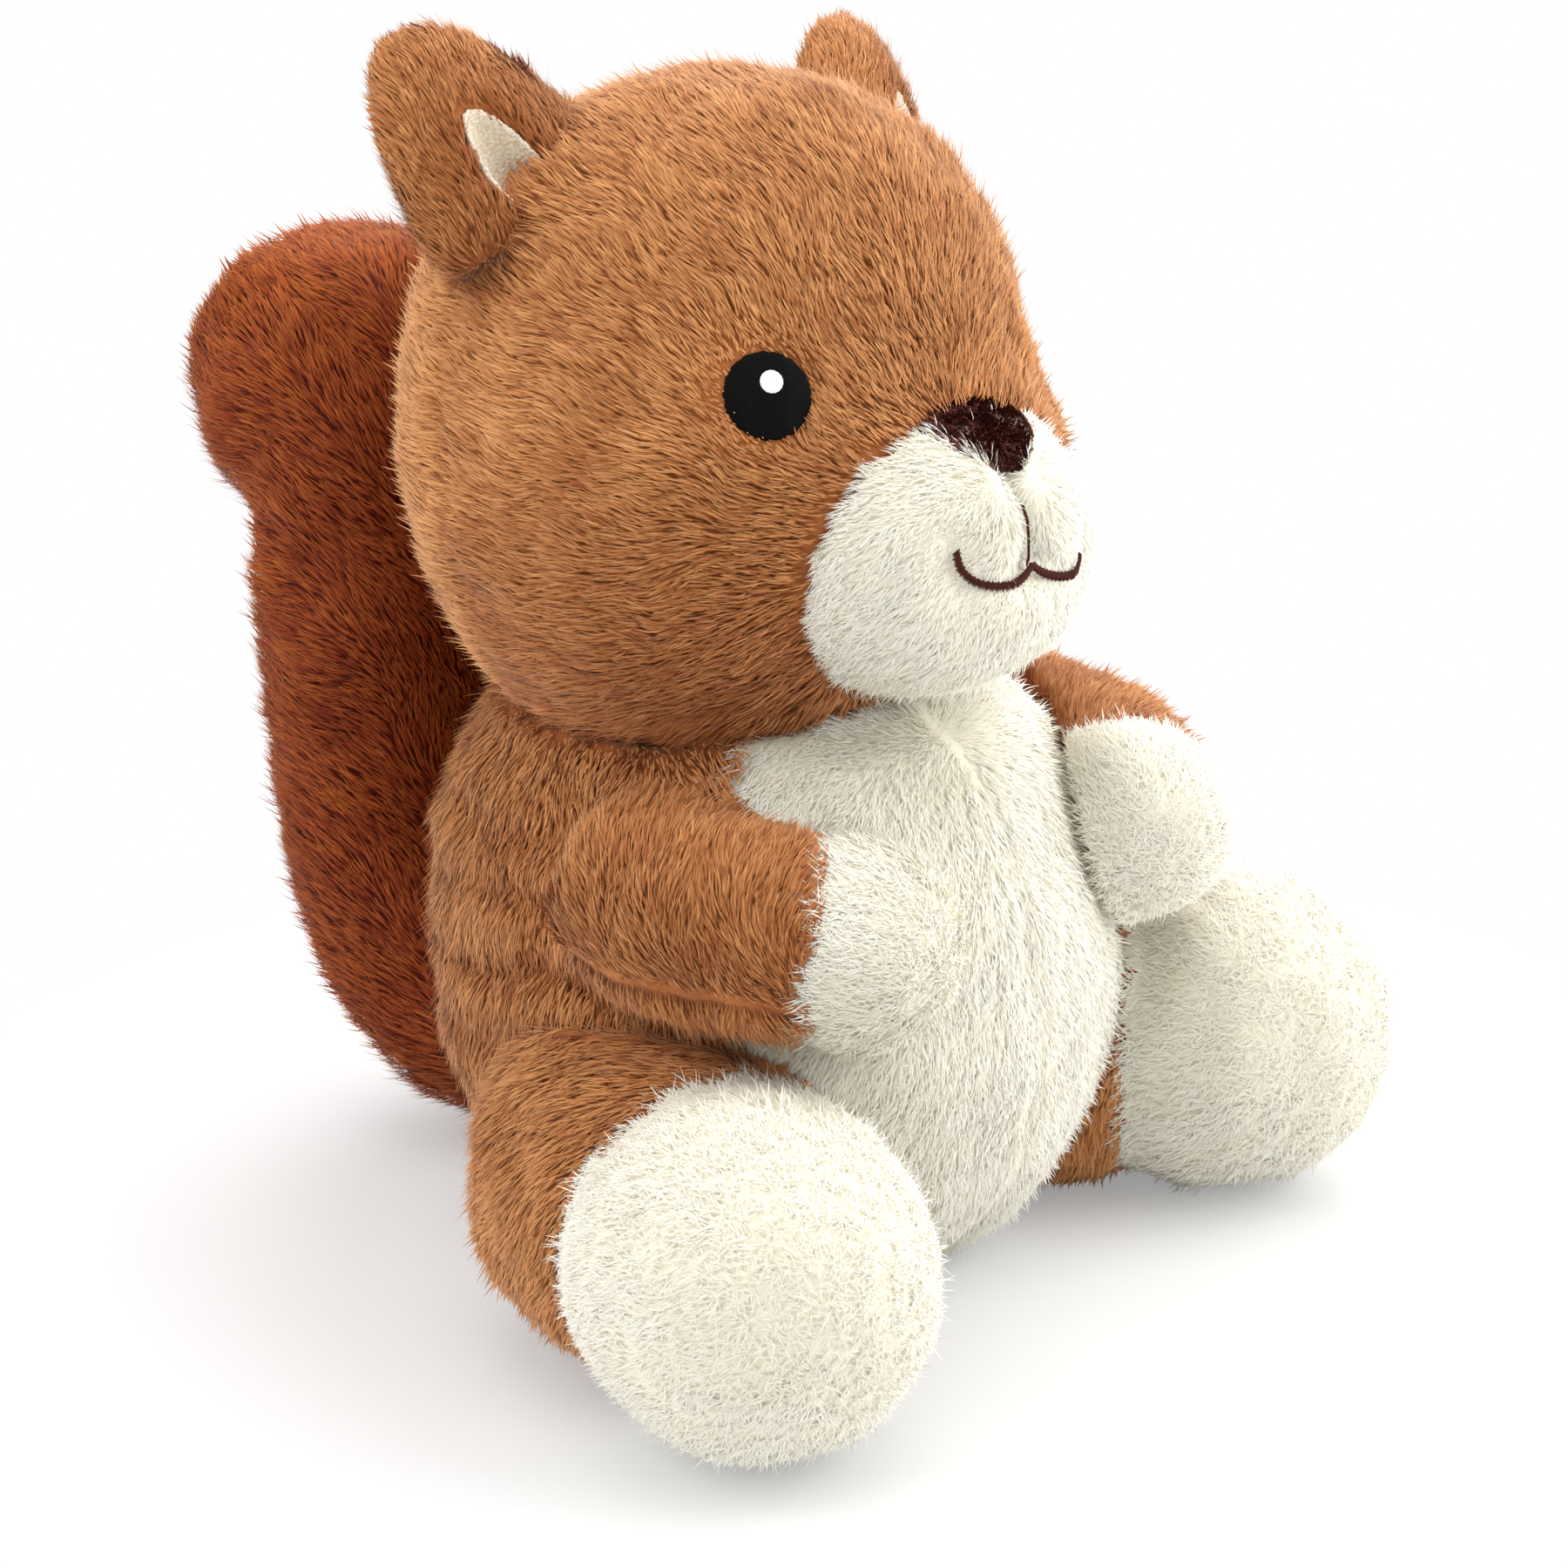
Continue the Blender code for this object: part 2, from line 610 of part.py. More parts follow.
def tail_column():
    """How far behind the toy's middle the upright part of the tail stands."""
    return torso_back(TAIL_ROOT_HEIGHT) + TAIL_STANDOFF


def tail_brush(name):
    """The tail from the rump upwards, closed by a dome."""
    thick, wide = TAIL_THICKNESS / 2, TAIL_WIDTH / 2
    column = tail_column()
    back = column - TAIL_STANDOFF
    keys = [(back - TAIL_ROOT_SINK, TAIL_ROOT_HEIGHT, thick * 0.56, wide * 0.60),
            (back + TAIL_STANDOFF * 0.34, thick * 1.12, thick * 0.98, wide * 0.85),
            (back + TAIL_STANDOFF * 0.84, TAIL_HEIGHT * 0.27, thick * 1.06, wide * 0.96),
            (column, TAIL_HEIGHT * 0.45, thick, wide),
            (column, TAIL_HEIGHT * 0.63, thick * 1.02, wide * 1.02),
            (column + TAIL_CURL * 0.2, TAIL_HEIGHT - thick * 1.3, thick * 1.06, wide * 1.02)]
    rows = through(keys, TAIL_RINGS)
    centres = [Vector((0, row[0], row[1])) for row in rows]
    rings = []
    for k, row in enumerate(rows):
        ahead = (centres[min(k + 1, len(rows) - 1)] - centres[max(k - 1, 0)]).normalized()
        outward = Vector((1, 0, 0)).cross(ahead)
        rings.append(oval(centres[k], Vector((row[3], 0, 0)), outward * row[2], TAIL_SIDES, ground=0.0))
    for k in range(1, DOME_RINGS):
        turn = math.pi / 2 * k / DOME_RINGS
        share = math.cos(turn) ** 0.85
        across = Vector((rows[-1][3], 0, 0))
        rings.append(oval(centres[-1] + ahead * thick * math.sin(turn), across * share,
                          outward * rows[-1][2] * share, TAIL_SIDES))
    return skin(name, rings, centres[0], tip=centres[-1] + ahead * thick)


def tail_roll(name):
    """The stuffed tip, rolled over behind the top of the brush."""
    thick, wide = TAIL_THICKNESS / 2, TAIL_WIDTH / 2
    high = thick * 1.22
    centre = Vector((0, tail_column() + TAIL_CURL, TAIL_HEIGHT - high))
    rings = []
    for row in range(1, TAIL_TIP_RINGS):
        rise = math.pi * (row / TAIL_TIP_RINGS - 0.5)
        share = math.cos(rise) ** 0.85
        across, outward = Vector((wide * 1.05, 0, 0)), Vector((0, thick * 1.38, 0))
        rings.append(oval(centre + Vector((0, 0, high * math.sin(rise))), across * share, outward * share,
                          TAIL_SIDES))
    pole = Vector((0, 0, high))
    return skin(name, rings, centre, root=centre - pole, tip=centre + pole)


for leftover in list(bpy.data.objects):
    bpy.data.objects.remove(leftover, do_unlink=True)

brown_plush = plush("brown_plush", BROWN)
russet_plush = plush("russet_plush", RUSSET)
cream_plush = plush("cream_plush", CREAM)
lining_cloth = plush("lining_cloth", LINING, 0.8)
nose_velour = plush("nose_velour", NOSE_BROWN, 0.9)
eye_thread = plush("eye_thread", EYE_BLACK, 0.6)
glint_thread = plush("glint_thread", GLINT_WHITE, 0.6)
mouth_thread = plush("mouth_thread", THREAD_BROWN, 0.7)

toy = bpy.data.objects.new("squirrel", None)
neck = bpy.data.objects.new("head_tilt", None)
for frame in (toy, neck):
    bpy.context.scene.collection.objects.link(frame)
neck.location = HEAD_MIDDLE
neck.rotation_euler.y = HEAD_TILT

# The forms that neighbours are cut by.
round_torso = guide(torso_body("round_torso", SEAM_GAP), toy)
round_head = guide(head_body("round_head", SEAM_GAP), neck)
round_muzzle = guide(muzzle_body("round_muzzle", SEAM_GAP), neck)

torso = finish(torso_body("torso", 0.0), brown_plush, toy)
recess = guide(belly_block("belly_recess", SEAM_GAP), toy)
trim(recess, guide(torso_body("belly_floor", -BELLY_THICKNESS), toy))
trim(torso, recess)
trim(torso, round_head)

belly = finish(torso_body("belly_panel", 0.0), cream_plush, toy)
trim(belly, guide(belly_block("belly_outline", 0.0), toy), "INTERSECT")
trim(belly, guide(torso_body("belly_backing", SEAM_GAP - BELLY_THICKNESS), toy))
trim(belly, round_head)

head = head_body("head", 0.0)
head_surface = surface_of(head)
finish(head, brown_plush, neck)

muzzle = muzzle_body("muzzle", 0.0)
muzzle_surface = surface_of(muzzle)
finish(muzzle, cream_plush, neck)
trim(muzzle, round_head)

nose = finish(nose_block((head_surface, muzzle_surface)), nose_velour, neck)
nose_top = guide(head_body("nose_top", SEAM_GAP + NOSE_THICKNESS), neck)
trim(nose_top, guide(muzzle_body("nose_top_on_muzzle", SEAM_GAP + NOSE_THICKNESS), neck), "UNION")
trim(nose, nose_top, "INTERSECT")
trim(nose, round_muzzle)
trim(nose, round_head)

mouth_middle = Vector((0, MUZZLE_MIDDLE.z))
smile = []
# Shares of half the mouth's width, and of its dip, from one corner to the other.
for share, dip in ((-1, 0.4), (-0.82, -0.45), (-0.45, -0.8), (0, 0),
                   (0.45, -0.8), (0.82, -0.45), (1, 0.4)):
    stop = Vector((share * MOUTH_WIDTH / 2, dip * MOUTH_DIP))
    smile.append(mouth_middle + Matrix.Rotation(-MOUTH_SLANT, 2) @ stop)
mouth = thread_along("mouth_stitching", muzzle_surface, smile, MOUTH_THREAD)
finish(mouth, mouth_thread, neck)
upright = [mouth_middle, mouth_middle + Vector((0, LIP_STITCH))]
lip = thread_along("lip_stitch", muzzle_surface, upright, LIP_THREAD)
trim(mouth, guide(lip, neck), "UNION")

for side, side_name in SIDE_NAMES:
    eye_place, eye_normal = onto(head_surface, side * EYE_SPACING / 2, HEAD_MIDDLE.z + EYE_RISE)
    across, upward, _ = facing(eye_normal)
    eye = finish(head_body(f"eye_{side_name}", SEAM_GAP + EYE_THICKNESS), eye_thread, neck)
    eye_outline = disc_block(f"eye_outline_{side_name}", eye_place, eye_normal, EYE_DIAMETER, EYE_DIAMETER)
    trim(eye, guide(eye_outline, neck), "INTERSECT")
    trim(eye, round_head)

    glint_floor = 2 * SEAM_GAP + EYE_THICKNESS
    glint_place = eye_place + upward * GLINT_RISE + across * GLINT_SHIFT
    glint = finish(head_body(f"eye_glint_{side_name}", glint_floor + GLINT_THICKNESS), glint_thread, neck)
    glint_outline = disc_block(f"glint_outline_{side_name}", glint_place, eye_normal,
                               GLINT_DIAMETER, EYE_DIAMETER, DISC_SIDES // 2)
    trim(glint, guide(glint_outline, neck), "INTERSECT")
    trim(glint, guide(head_body(f"glint_floor_{side_name}", glint_floor), neck))

    above = Vector((side * EAR_SPACING / 2, HEAD_MIDDLE.y + EAR_SETBACK, 1))
    ear_root = head_surface.ray_cast(above, Vector((0, 0, -1)))[0]
    axes = ear_axes(side)
    ear = finish(ear_body(f"ear_{side_name}", ear_root, axes, 0.0), brown_plush, neck)
    trim(ear, guide(pocket_body(f"ear_pocket_{side_name}", ear_root, axes, 0.0), neck))
    trim(ear, round_head)
    lining = finish(pocket_body(f"ear_lining_{side_name}", ear_root, axes, -SEAM_GAP), lining_cloth, neck)
    trim(lining, guide(ear_body(f"ear_outline_{side_name}", ear_root, axes, -SEAM_GAP), neck), "INTERSECT")
    trim(lining, guide(pocket_body(f"ear_hollow_{side_name}", ear_root, axes,
                                   -SEAM_GAP - LINING_THICKNESS), neck))
    trim(lining, round_head)

    for limb in (finish(arm_body(f"arm_{side_name}", side), brown_plush, toy),
                 finish(paw_body(f"paw_{side_name}", side), cream_plush, toy),
                 finish(leg_body(f"leg_{side_name}", side), brown_plush, toy),
                 finish(foot_body(f"foot_{side_name}", side), cream_plush, toy)):
        trim(limb, round_torso)
        trim(limb, round_head)

tail = finish(tail_brush("tail"), russet_plush, toy)
trim(tail, guide(tail_roll("tail_roll"), toy), "UNION")
trim(tail, round_torso)
trim(tail, round_head)
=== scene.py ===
"""Plush squirrel dog toy: its fur cloth, stitching, floor, light and camera."""

import math

import bmesh
import bpy
import numpy as np
from mathutils import Matrix, Vector
from mathutils.bvhtree import BVHTree


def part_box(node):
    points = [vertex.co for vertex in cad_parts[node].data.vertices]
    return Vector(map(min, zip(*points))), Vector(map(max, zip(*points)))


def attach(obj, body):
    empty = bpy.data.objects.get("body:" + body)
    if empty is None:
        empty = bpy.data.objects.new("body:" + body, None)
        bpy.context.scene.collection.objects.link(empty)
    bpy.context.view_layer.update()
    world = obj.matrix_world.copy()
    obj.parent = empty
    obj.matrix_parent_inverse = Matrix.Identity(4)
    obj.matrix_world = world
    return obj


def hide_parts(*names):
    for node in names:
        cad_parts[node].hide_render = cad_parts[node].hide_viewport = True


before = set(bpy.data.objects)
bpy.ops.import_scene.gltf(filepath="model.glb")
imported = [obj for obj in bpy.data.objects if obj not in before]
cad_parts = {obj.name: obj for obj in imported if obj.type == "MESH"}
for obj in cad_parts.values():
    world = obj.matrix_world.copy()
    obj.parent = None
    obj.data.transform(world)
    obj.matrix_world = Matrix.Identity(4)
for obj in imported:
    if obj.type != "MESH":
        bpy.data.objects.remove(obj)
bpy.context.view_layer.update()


# The camera stands a little above the toy, in front of its right shoulder, as for the photograph.
# Its place and turn were fitted to the toy's outline, eye, ears, feet and tail.
azimuth, elevation, roll = math.radians(-49.5), math.radians(19.0), math.radians(-0.7)
back = Vector((math.sin(azimuth) * math.cos(elevation), -math.cos(azimuth) * math.cos(elevation),
               math.sin(elevation)))
level = Vector((math.cos(azimuth), math.sin(azimuth), 0))
upright = back.cross(level)
right = level * math.cos(roll) + upright * math.sin(roll)
above = upright * math.cos(roll) - level * math.sin(roll)
lens = bpy.data.cameras.new("camera")
lens.sensor_width = 36
lens.lens = 86.9
lens.clip_start, lens.clip_end = 0.05, 20
camera = bpy.data.objects.new("camera", lens)
bpy.context.scene.collection.objects.link(camera)
stand = Matrix.Translation((-0.526, -0.466, 0.331))
camera.matrix_world = stand @ Matrix((right, above, back)).transposed().to_4x4()
bpy.context.scene.camera = camera


# The body: a bag of ginger-brown fur cloth, stuffed firm with loose fibre. It sits on its flat
# underside, and its cloth is creased at the waist where the toy bends. The fur is combed down.
MM = 0.001


def waves(places, length, seed):
    """A smooth, seeded unevenness between about -1 and 1, with hills about one length apart."""
    ripples, usual_sum = 9, 3.2
    dice = np.random.default_rng(seed)
    total = np.zeros(len(places))
    for _ in range(ripples):
        way = dice.normal(size=3)
        way /= np.linalg.norm(way)
        pitch = length * dice.uniform(0.7, 1.5)
        total += np.cos(places @ way * (2 * math.pi / pitch) + dice.uniform(0, 2 * math.pi))
    return total / usual_sum


def bump_at(places, centre, radius):
    """1 at a centre, falling away smoothly to 0 past the radius."""
    return np.exp(-((places - np.array(centre)) ** 2).sum(1) / radius ** 2)


def length_of(rows):
    nothing = 1e-12
    return np.maximum(np.linalg.norm(rows, axis=1, keepdims=True), nothing)


def unit(rows):
    return rows / length_of(rows)


def stuffed_form(nodes, grain, rounding):
    """Points and faces of stuffed pieces sewn together: their solids in one skin, edges rounded.

    grain is the length of the faces' sides, and rounding how often the skin is eased.
    """
    same_point = 0.001 * MM
    solids = bmesh.new()
    for node in nodes:
        solids.from_mesh(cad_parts[node].data)
    bmesh.ops.remove_doubles(solids, verts=solids.verts, dist=same_point)
    mesh = bpy.data.meshes.new("form")
    solids.to_mesh(mesh)
    solids.free()
    source = bpy.data.objects.new("form", mesh)
    bpy.context.scene.collection.objects.link(source)
    remesh = source.modifiers.new("remesh", "REMESH")
    remesh.mode = "VOXEL"
    remesh.voxel_size = grain
    ease = source.modifiers.new("ease", "SMOOTH")
    ease.iterations = rounding
    ease.factor = 0.5
    mesh = bpy.data.meshes.new_from_object(source.evaluated_get(bpy.context.evaluated_depsgraph_get()))
    places = np.zeros(len(mesh.vertices) * 3)
    mesh.vertices.foreach_get("co", places)
    faces = np.array([list(face.vertices) for face in mesh.polygons])
    bpy.data.objects.remove(source)
    return places.reshape(-1, 3), faces


def point_normals(places, faces):
    """The way each point of a closed cloth faces."""
    across = np.cross(places[faces[:, 2]] - places[faces[:, 0]], places[faces[:, 3]] - places[faces[:, 1]])
    normals = np.zeros_like(places)
    for corner in range(4):
        np.add.at(normals, faces[:, corner], across)
    return unit(normals)


def surface(*chosen):
    """The skins of some solids, for rays to meet."""
    points, corners = [], []
    for node in chosen:
        start = len(points)
        points += [vertex.co.copy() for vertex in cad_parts[node].data.vertices]
        corners += [[start + k for k in face.vertices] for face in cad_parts[node].data.polygons]
    return BVHTree.FromPolygons(points, corners)


def bareness(nodes, places, normals):
    """Whether the cloth shows at each point, 0 or 1, and how far off the next stuffed piece is."""
    inset, covered, on_floor = 0.5 * MM, 2.0 * MM, 0.6 * MM
    others = surface(*(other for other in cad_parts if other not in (*nodes, "mouth_stitching")))
    stuffed = surface(*(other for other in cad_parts
                        if other not in (*nodes, "nose") and "eye" not in other and "mouth" not in other))
    free, gap = np.ones(len(places)), np.zeros(len(places))
    for k, (place, normal) in enumerate(zip(places, normals)):
        start = Vector(place - normal * inset)
        if others.ray_cast(start, Vector(normal), covered)[0] is not None or place[2] < on_floor:
            free[k] = 0.0
        gap[k] = stuffed.find_nearest(Vector(place))[3]
    return free, gap


def fur_cloth(name, cloth, free, comb, count, long, lay=(27, 10), wide=0.40 * MM, tuft=2.2 * MM, pull=0.25,
              stature=None, tone=None, lively=1.0, ruffled=None, unruly=0.11, mottle=0.20, even=0.88,
              stray=0.05, kept=None, seed=1):
    """Fur cloth as one mesh: the backing, and on it pile as thin bent blades that taper to a point.

    count, long and wide are the number, length and width of the blades. comb gives the way they lie,
    lay their angle off the cloth in degrees, low and high, lively how much their way wanders,
    ruffled and unruly how far single blades leave it, and stray the share that stands up. tuft is the
    size of a tuft, and pull how far its tips lean together. stature makes the fur shorter in places
    and tone makes it paler or darker, on top of the mottle of single blades. even is how far a blade
    takes its light as the cloth does. kept tells which places of the cloth are this piece's, where it
    is sewn to another. The map "OFBake" holds each blade's tone across and its root to tip upwards.
    """
    bend_at, rest_of_it = 0.48, 0.55
    root_sunk, off_floor = 0.4 * MM, 0.2 * MM
    darkest, palest, edge_tone = 0.03, 0.97, 0.012
    spare = 1.3
    places, faces = cloth
    normals = point_normals(places, faces)
    dice = np.random.default_rng(seed)
    corners = np.concatenate([faces[:, [0, 1, 2]], faces[:, [0, 2, 3]]])
    a, b, c = places[corners[:, 0]], places[corners[:, 1]], places[corners[:, 2]]
    area = np.linalg.norm(np.cross(b - a, c - a), axis=1) / 2
    chance = area * free[corners].mean(1)
    drawn = count
    if kept is not None:
        chance = chance * kept(places)[corners].any(1)
        drawn = round(count * spare)
    chosen = dice.choice(len(corners), drawn, p=chance / chance.sum())
    s, t = dice.random(drawn), dice.random(drawn)
    swap = s + t > 1
    s[swap], t[swap] = 1 - s[swap], 1 - t[swap]
    shares = np.stack([1 - s - t, s, t], 1)[:, :, None]
    root = (places[corners[chosen]] * shares).sum(1)
    out = (normals[corners[chosen]] * shares).sum(1)
    if kept is not None:
        within = np.flatnonzero(kept(root))[:count]
        root, out, count = root[within], out[within], len(within)
        used, index = np.unique(faces[kept(places[faces].mean(1))], return_inverse=True)
        places, normals, faces = places[used], normals[used], index.reshape(-1, 4)
    out = unit(out)
    along = comb(root, out)
    along = unit(along - out * (along * out).sum(1, keepdims=True))
    side = np.cross(out, along)
    wide_swirl, small_swirl = 0.24 * waves(root, 16 * MM, seed + 1), 0.13 * waves(root, 5 * MM, seed + 2)
    turn = lively * (wide_swirl + small_swirl + 0.13 * dice.normal(size=count))[:, None]
    if ruffled is not None:
        turn += ruffled(root)[:, None] * dice.normal(size=(count, 1))
    along, side = along * np.cos(turn) + side * np.sin(turn), side * np.cos(turn) - along * np.sin(turn)

    shortest, longest, unevenness = 0.72, 1.08, 0.12
    reach = long * dice.uniform(shortest, longest, count) * (1 + unevenness * waves(root, 9 * MM, seed + 3))
    if stature is not None:
        reach = reach * stature(root)
    reach = reach[:, None]
    stray_lift = 0.45
    lift = (dice.normal(0, unruly, count) + stray_lift * (dice.random(count) < stray))[:, None]
    low, high = math.radians(lay[0]) + lift, math.radians(lay[1]) + lift
    middle = root + reach * bend_at * (np.cos(low) * along + np.sin(low) * out)
    tip = middle + reach * rest_of_it * (np.cos(high) * along + np.sin(high) * out)

    # Fur stands in tufts: the tips of each small patch lean together.
    warp = np.stack([waves(root, 6 * MM, seed + k) for k in (4, 5, 6)], 1) * 1.6 * MM
    blurred = dice.uniform(-0.25, 0.25, (count, 3)) * MM
    cell = np.floor((root + warp + blurred) / tuft).astype(np.int64)
    row = 4001
    keys, member = np.unique(cell @ np.array([1, row, row * row]), return_inverse=True)
    member = member.ravel()
    size = np.maximum(np.bincount(member), 1)
    centre = np.stack([np.bincount(member, tip[:, k]) / size for k in range(3)], 1)
    lean = centre[member] - tip
    lean -= out * (lean * out).sum(1, keepdims=True)
    tip = tip + lean * pull
    lean_at_bend = 0.35
    middle = middle + lean * pull * lean_at_bend

    thinnest, thickest = 0.7, 1.25
    half = side * (wide / 2) * dice.uniform(thinnest, thickest, count)[:, None]
    blade = np.stack([root - out * root_sunk, middle - half, middle + half, tip], 1).reshape(-1, 3)
    blade[:, 2] = np.maximum(blade[:, 2], off_floor)
    first = len(places) + 4 * np.arange(count)[:, None]
    blade_faces = np.concatenate([first + [0, 1, 2], first + [1, 3, 2]])

    patches, tufts = 0.10 * waves(root, 17 * MM, seed + 7), 0.10 * dice.normal(size=len(keys))[member]
    shade = 0.5 + patches + tufts + mottle * dice.normal(size=count)
    if tone is not None:
        shade = shade + tone(root)
    shade = np.clip(shade, darkest, palest)

    mesh = bpy.data.meshes.new(name)
    points = np.concatenate([places, blade])
    mesh.vertices.add(len(points))
    mesh.vertices.foreach_set("co", points.ravel().astype(np.float32))
    loops = np.concatenate([faces.ravel(), blade_faces.ravel()]).astype(np.int32)
    mesh.loops.add(len(loops))
    mesh.loops.foreach_set("vertex_index", loops)
    sizes = np.concatenate([np.full(len(faces), 4), np.full(len(blade_faces), 3)])
    mesh.polygons.add(len(sizes))
    mesh.polygons.foreach_set("loop_start", (np.cumsum(sizes) - sizes).astype(np.int32))
    mesh.polygons.foreach_set("use_smooth", np.ones(len(sizes), bool))
    mesh.update(calc_edges=True)

    ground = np.stack([np.clip(0.5 + 0.3 * waves(places, 9 * MM, seed + 8), darkest, palest),
                       0.02 + 0.02 * dice.random(len(places))], 1)
    spread = np.stack([shade, shade - edge_tone, shade + edge_tone, shade], 1).ravel()
    height = np.tile([0.0, bend_at, bend_at, 1.0], count)
    spots = np.concatenate([ground, np.stack([spread, height], 1)])
    bake_map = mesh.uv_layers.new(name="OFBake")
    bake_map.data.foreach_set("uv", spots[loops].ravel().astype(np.float32))

    blade_out = np.cross(side, tip - root)
    blade_out = unit(blade_out * np.sign((blade_out * out).sum(1, keepdims=True)))
    soft = unit(out * even + blade_out * (1 - even))
    facing = np.concatenate([normals, np.repeat(soft, 4, 0)])
    mesh.normals_split_custom_set_from_vertices(facing)
    piece = bpy.data.objects.new(name, mesh)
    bpy.context.scene.collection.objects.link(piece)
    return piece


def fur_colour(name, dark, light, sheen_tint, sheen=0.25):
    """Fur whose blades go from a deep root to a paler tip, in tones between the dark and the light.

    dark and light each give places along the blade, from 0 at its root to 1 at its tip, with colours.
    """
    material = bpy.data.materials.new(name)
    material.use_nodes = True
    nodes, links = material.node_tree.nodes, material.node_tree.links
    shader = nodes["Principled BSDF"]
    spot = nodes.new("ShaderNodeUVMap")
    spot.uv_map = "OFBake"
    split = nodes.new("ShaderNodeSeparateXYZ")
    links.new(spot.outputs["UV"], split.inputs["Vector"])
    mix = nodes.new("ShaderNodeMix")
    mix.data_type = "RGBA"
    links.new(split.outputs["X"], mix.inputs["Factor"])
    for stops, socket in ((dark, "A"), (light, "B")):
        ramp = nodes.new("ShaderNodeValToRGB")
        links.new(split.outputs["Y"], ramp.inputs["Fac"])
        ends = ramp.color_ramp.elements
        ends[0].position, ends[0].color = stops[0][0], (*stops[0][1], 1)
        ends[1].position, ends[1].color = stops[-1][0], (*stops[-1][1], 1)
        for place, colour in stops[1:-1]:
            ends.new(place).color = (*colour, 1)
        colour_in = [s for s in mix.inputs if s.type == "RGBA" and s.name == socket][0]
        links.new(ramp.outputs["Color"], colour_in)
    colour_out = [s for s in mix.outputs if s.type == "RGBA"][0]
    links.new(colour_out, shader.inputs["Base Color"])
    shader.inputs["Roughness"].default_value = 0.75
    shader.inputs["Specular IOR Level"].default_value = 0.25
    shader.inputs["Sheen Weight"].default_value = sheen
    shader.inputs["Sheen Roughness"].default_value = 0.5
    shader.inputs["Sheen Tint"].default_value = (*sheen_tint, 1)
    return material


def sew_on(piece, material, node_slot, *nodes, fill=None):
    """Gives a piece its material, and lets it stand for its solids."""
    piece.data.materials.append(material)
    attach(piece, "root")
    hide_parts(*nodes)


def stuffed_cloth(nodes, grain, rounding, sink, shape=None, lumps=0.6 * MM, seed=1):
    """The cloth of stuffed pieces, sunk a little under their fur's surface, with lumps and creases.

    Where it comes up against another piece it isn't sunk, so that the two pieces' fur closes up.
    """
    hills, touching, fading, off_floor = 24 * MM, 1 * MM, 5 * MM, 0.5 * MM
    places, faces = stuffed_form(nodes, grain, rounding)
    normals = point_normals(places, faces)
    free, gap = bareness(nodes, places, normals)
    offset = lumps * waves(places, hills, seed) - sink
    offset *= np.clip((gap - touching) / fading, 0, 1)
    if shape is not None:
        offset = offset + shape(places, normals)
    sunk = places + normals * offset[:, None]
    sunk[:, 2] = np.maximum(sunk[:, 2], off_floor)
    return (sunk, faces), free


def part_of(cream_end, brown, wanted):
    """Tells which places of a limb's cloth belong to the wanted one of its two sewn parts."""
    one, two = surface(cream_end), surface(brown)
    ragged, overlap = 0.1 * MM, 0.3 * MM

    def kept(places):
        lead = np.array([two.find_nearest(Vector(p))[3] - one.find_nearest(Vector(p))[3] for p in places])
        cream_side = lead > ragged * waves(places, 6 * MM, 3) - overlap
        return cream_side if wanted == cream_end else ~cream_side
    return kept


def short_by(node):
    """Fur is short within a few millimetres of a cream part, whose own fur lies over it."""
    skin = surface(node)
    shortest, growing, reach = 0.45, 0.55, 6 * MM
    return lambda places: shortest + growing * np.clip(
        [skin.find_nearest(Vector(place))[3] / reach for place in places], 0, 1)


ginger = fur_colour("ginger_fur",
                    ((0.0, (0.30, 0.080, 0.016)), (0.45, (0.34, 0.098, 0.022)),
                     (1.0, (0.43, 0.140, 0.038))),
                    ((0.0, (0.46, 0.150, 0.036)), (0.45, (0.66, 0.275, 0.083)),
                     (1.0, (0.86, 0.46, 0.190))),
                    (1.0, 0.78, 0.55), sheen=0.28)


# Heights up the belly's panel, and half its width at each.
BELLY_EDGE = np.array([(0, 20), (12, 31), (30, 44), (60, 57), (88, 49), (110, 39), (118, 31),
                       (126, 18)]) * MM


def on_belly(places):
    """Tells which places are within the outline of the belly's panel, on the front of the body."""
    ragged, front = 0.6 * MM, -12 * MM
    half = np.interp(places[:, 2], BELLY_EDGE[:, 0], BELLY_EDGE[:, 1]) + ragged * waves(places, 7 * MM, 4)
    return (np.abs(places[:, 0]) < half) & (places[:, 1] < front)


def off_belly(places):
    return ~on_belly(places)


PAWS = surface("paw_right", "paw_left")
BODY_MIDDLE = np.array([0, -15, 62]) * MM
# The height, depth and width of each fold, in millimetres.
WAIST_FOLDS = ((72, 3.4, 3.2), (86, 2.2, 3.4), (58, 1.8, 4.0), (98, 1.6, 4.0))


def body_creases(places, normals):
    """Folds round the waist, the seam that draws in the middle of the belly, and the paws' hollows."""
    fold_sway, seam_sway, seam_deep, seam_wide = 2.2 * MM, 1.5 * MM, 1.5 * MM, 1.7 * MM
    hollow_deep, hollow_at, hollow_wide = 2.0 * MM, 1 * MM, 3.5 * MM
    height = places[:, 2] + 0.12 * (places[:, 1] + 10 * MM)
    flank = np.exp(-((places[:, 1] - 4 * MM) / (34 * MM)) ** 2) * np.clip(np.abs(normals[:, 0]) * 1.4, 0, 1)
    depth = np.zeros(len(places))
    for level_at, deep, wide in WAIST_FOLDS:
        middle = level_at * MM + fold_sway * waves(places, 40 * MM, level_at)
        depth -= deep * MM * np.exp(-((height - middle) / (wide * MM)) ** 2)
    away = (places[:, 0] + seam_sway - seam_sway * np.sin(places[:, 2] / (14 * MM))) / seam_wide
    seam = -seam_deep * np.exp(-away ** 2) * np.clip(-normals[:, 1] * 2, 0, 1)
    paw_off = np.array([PAWS.find_nearest(Vector(place))[3] for place in places])
    return depth * flank + seam - hollow_deep * np.exp(-((paw_off - hollow_at) / hollow_wide) ** 2)


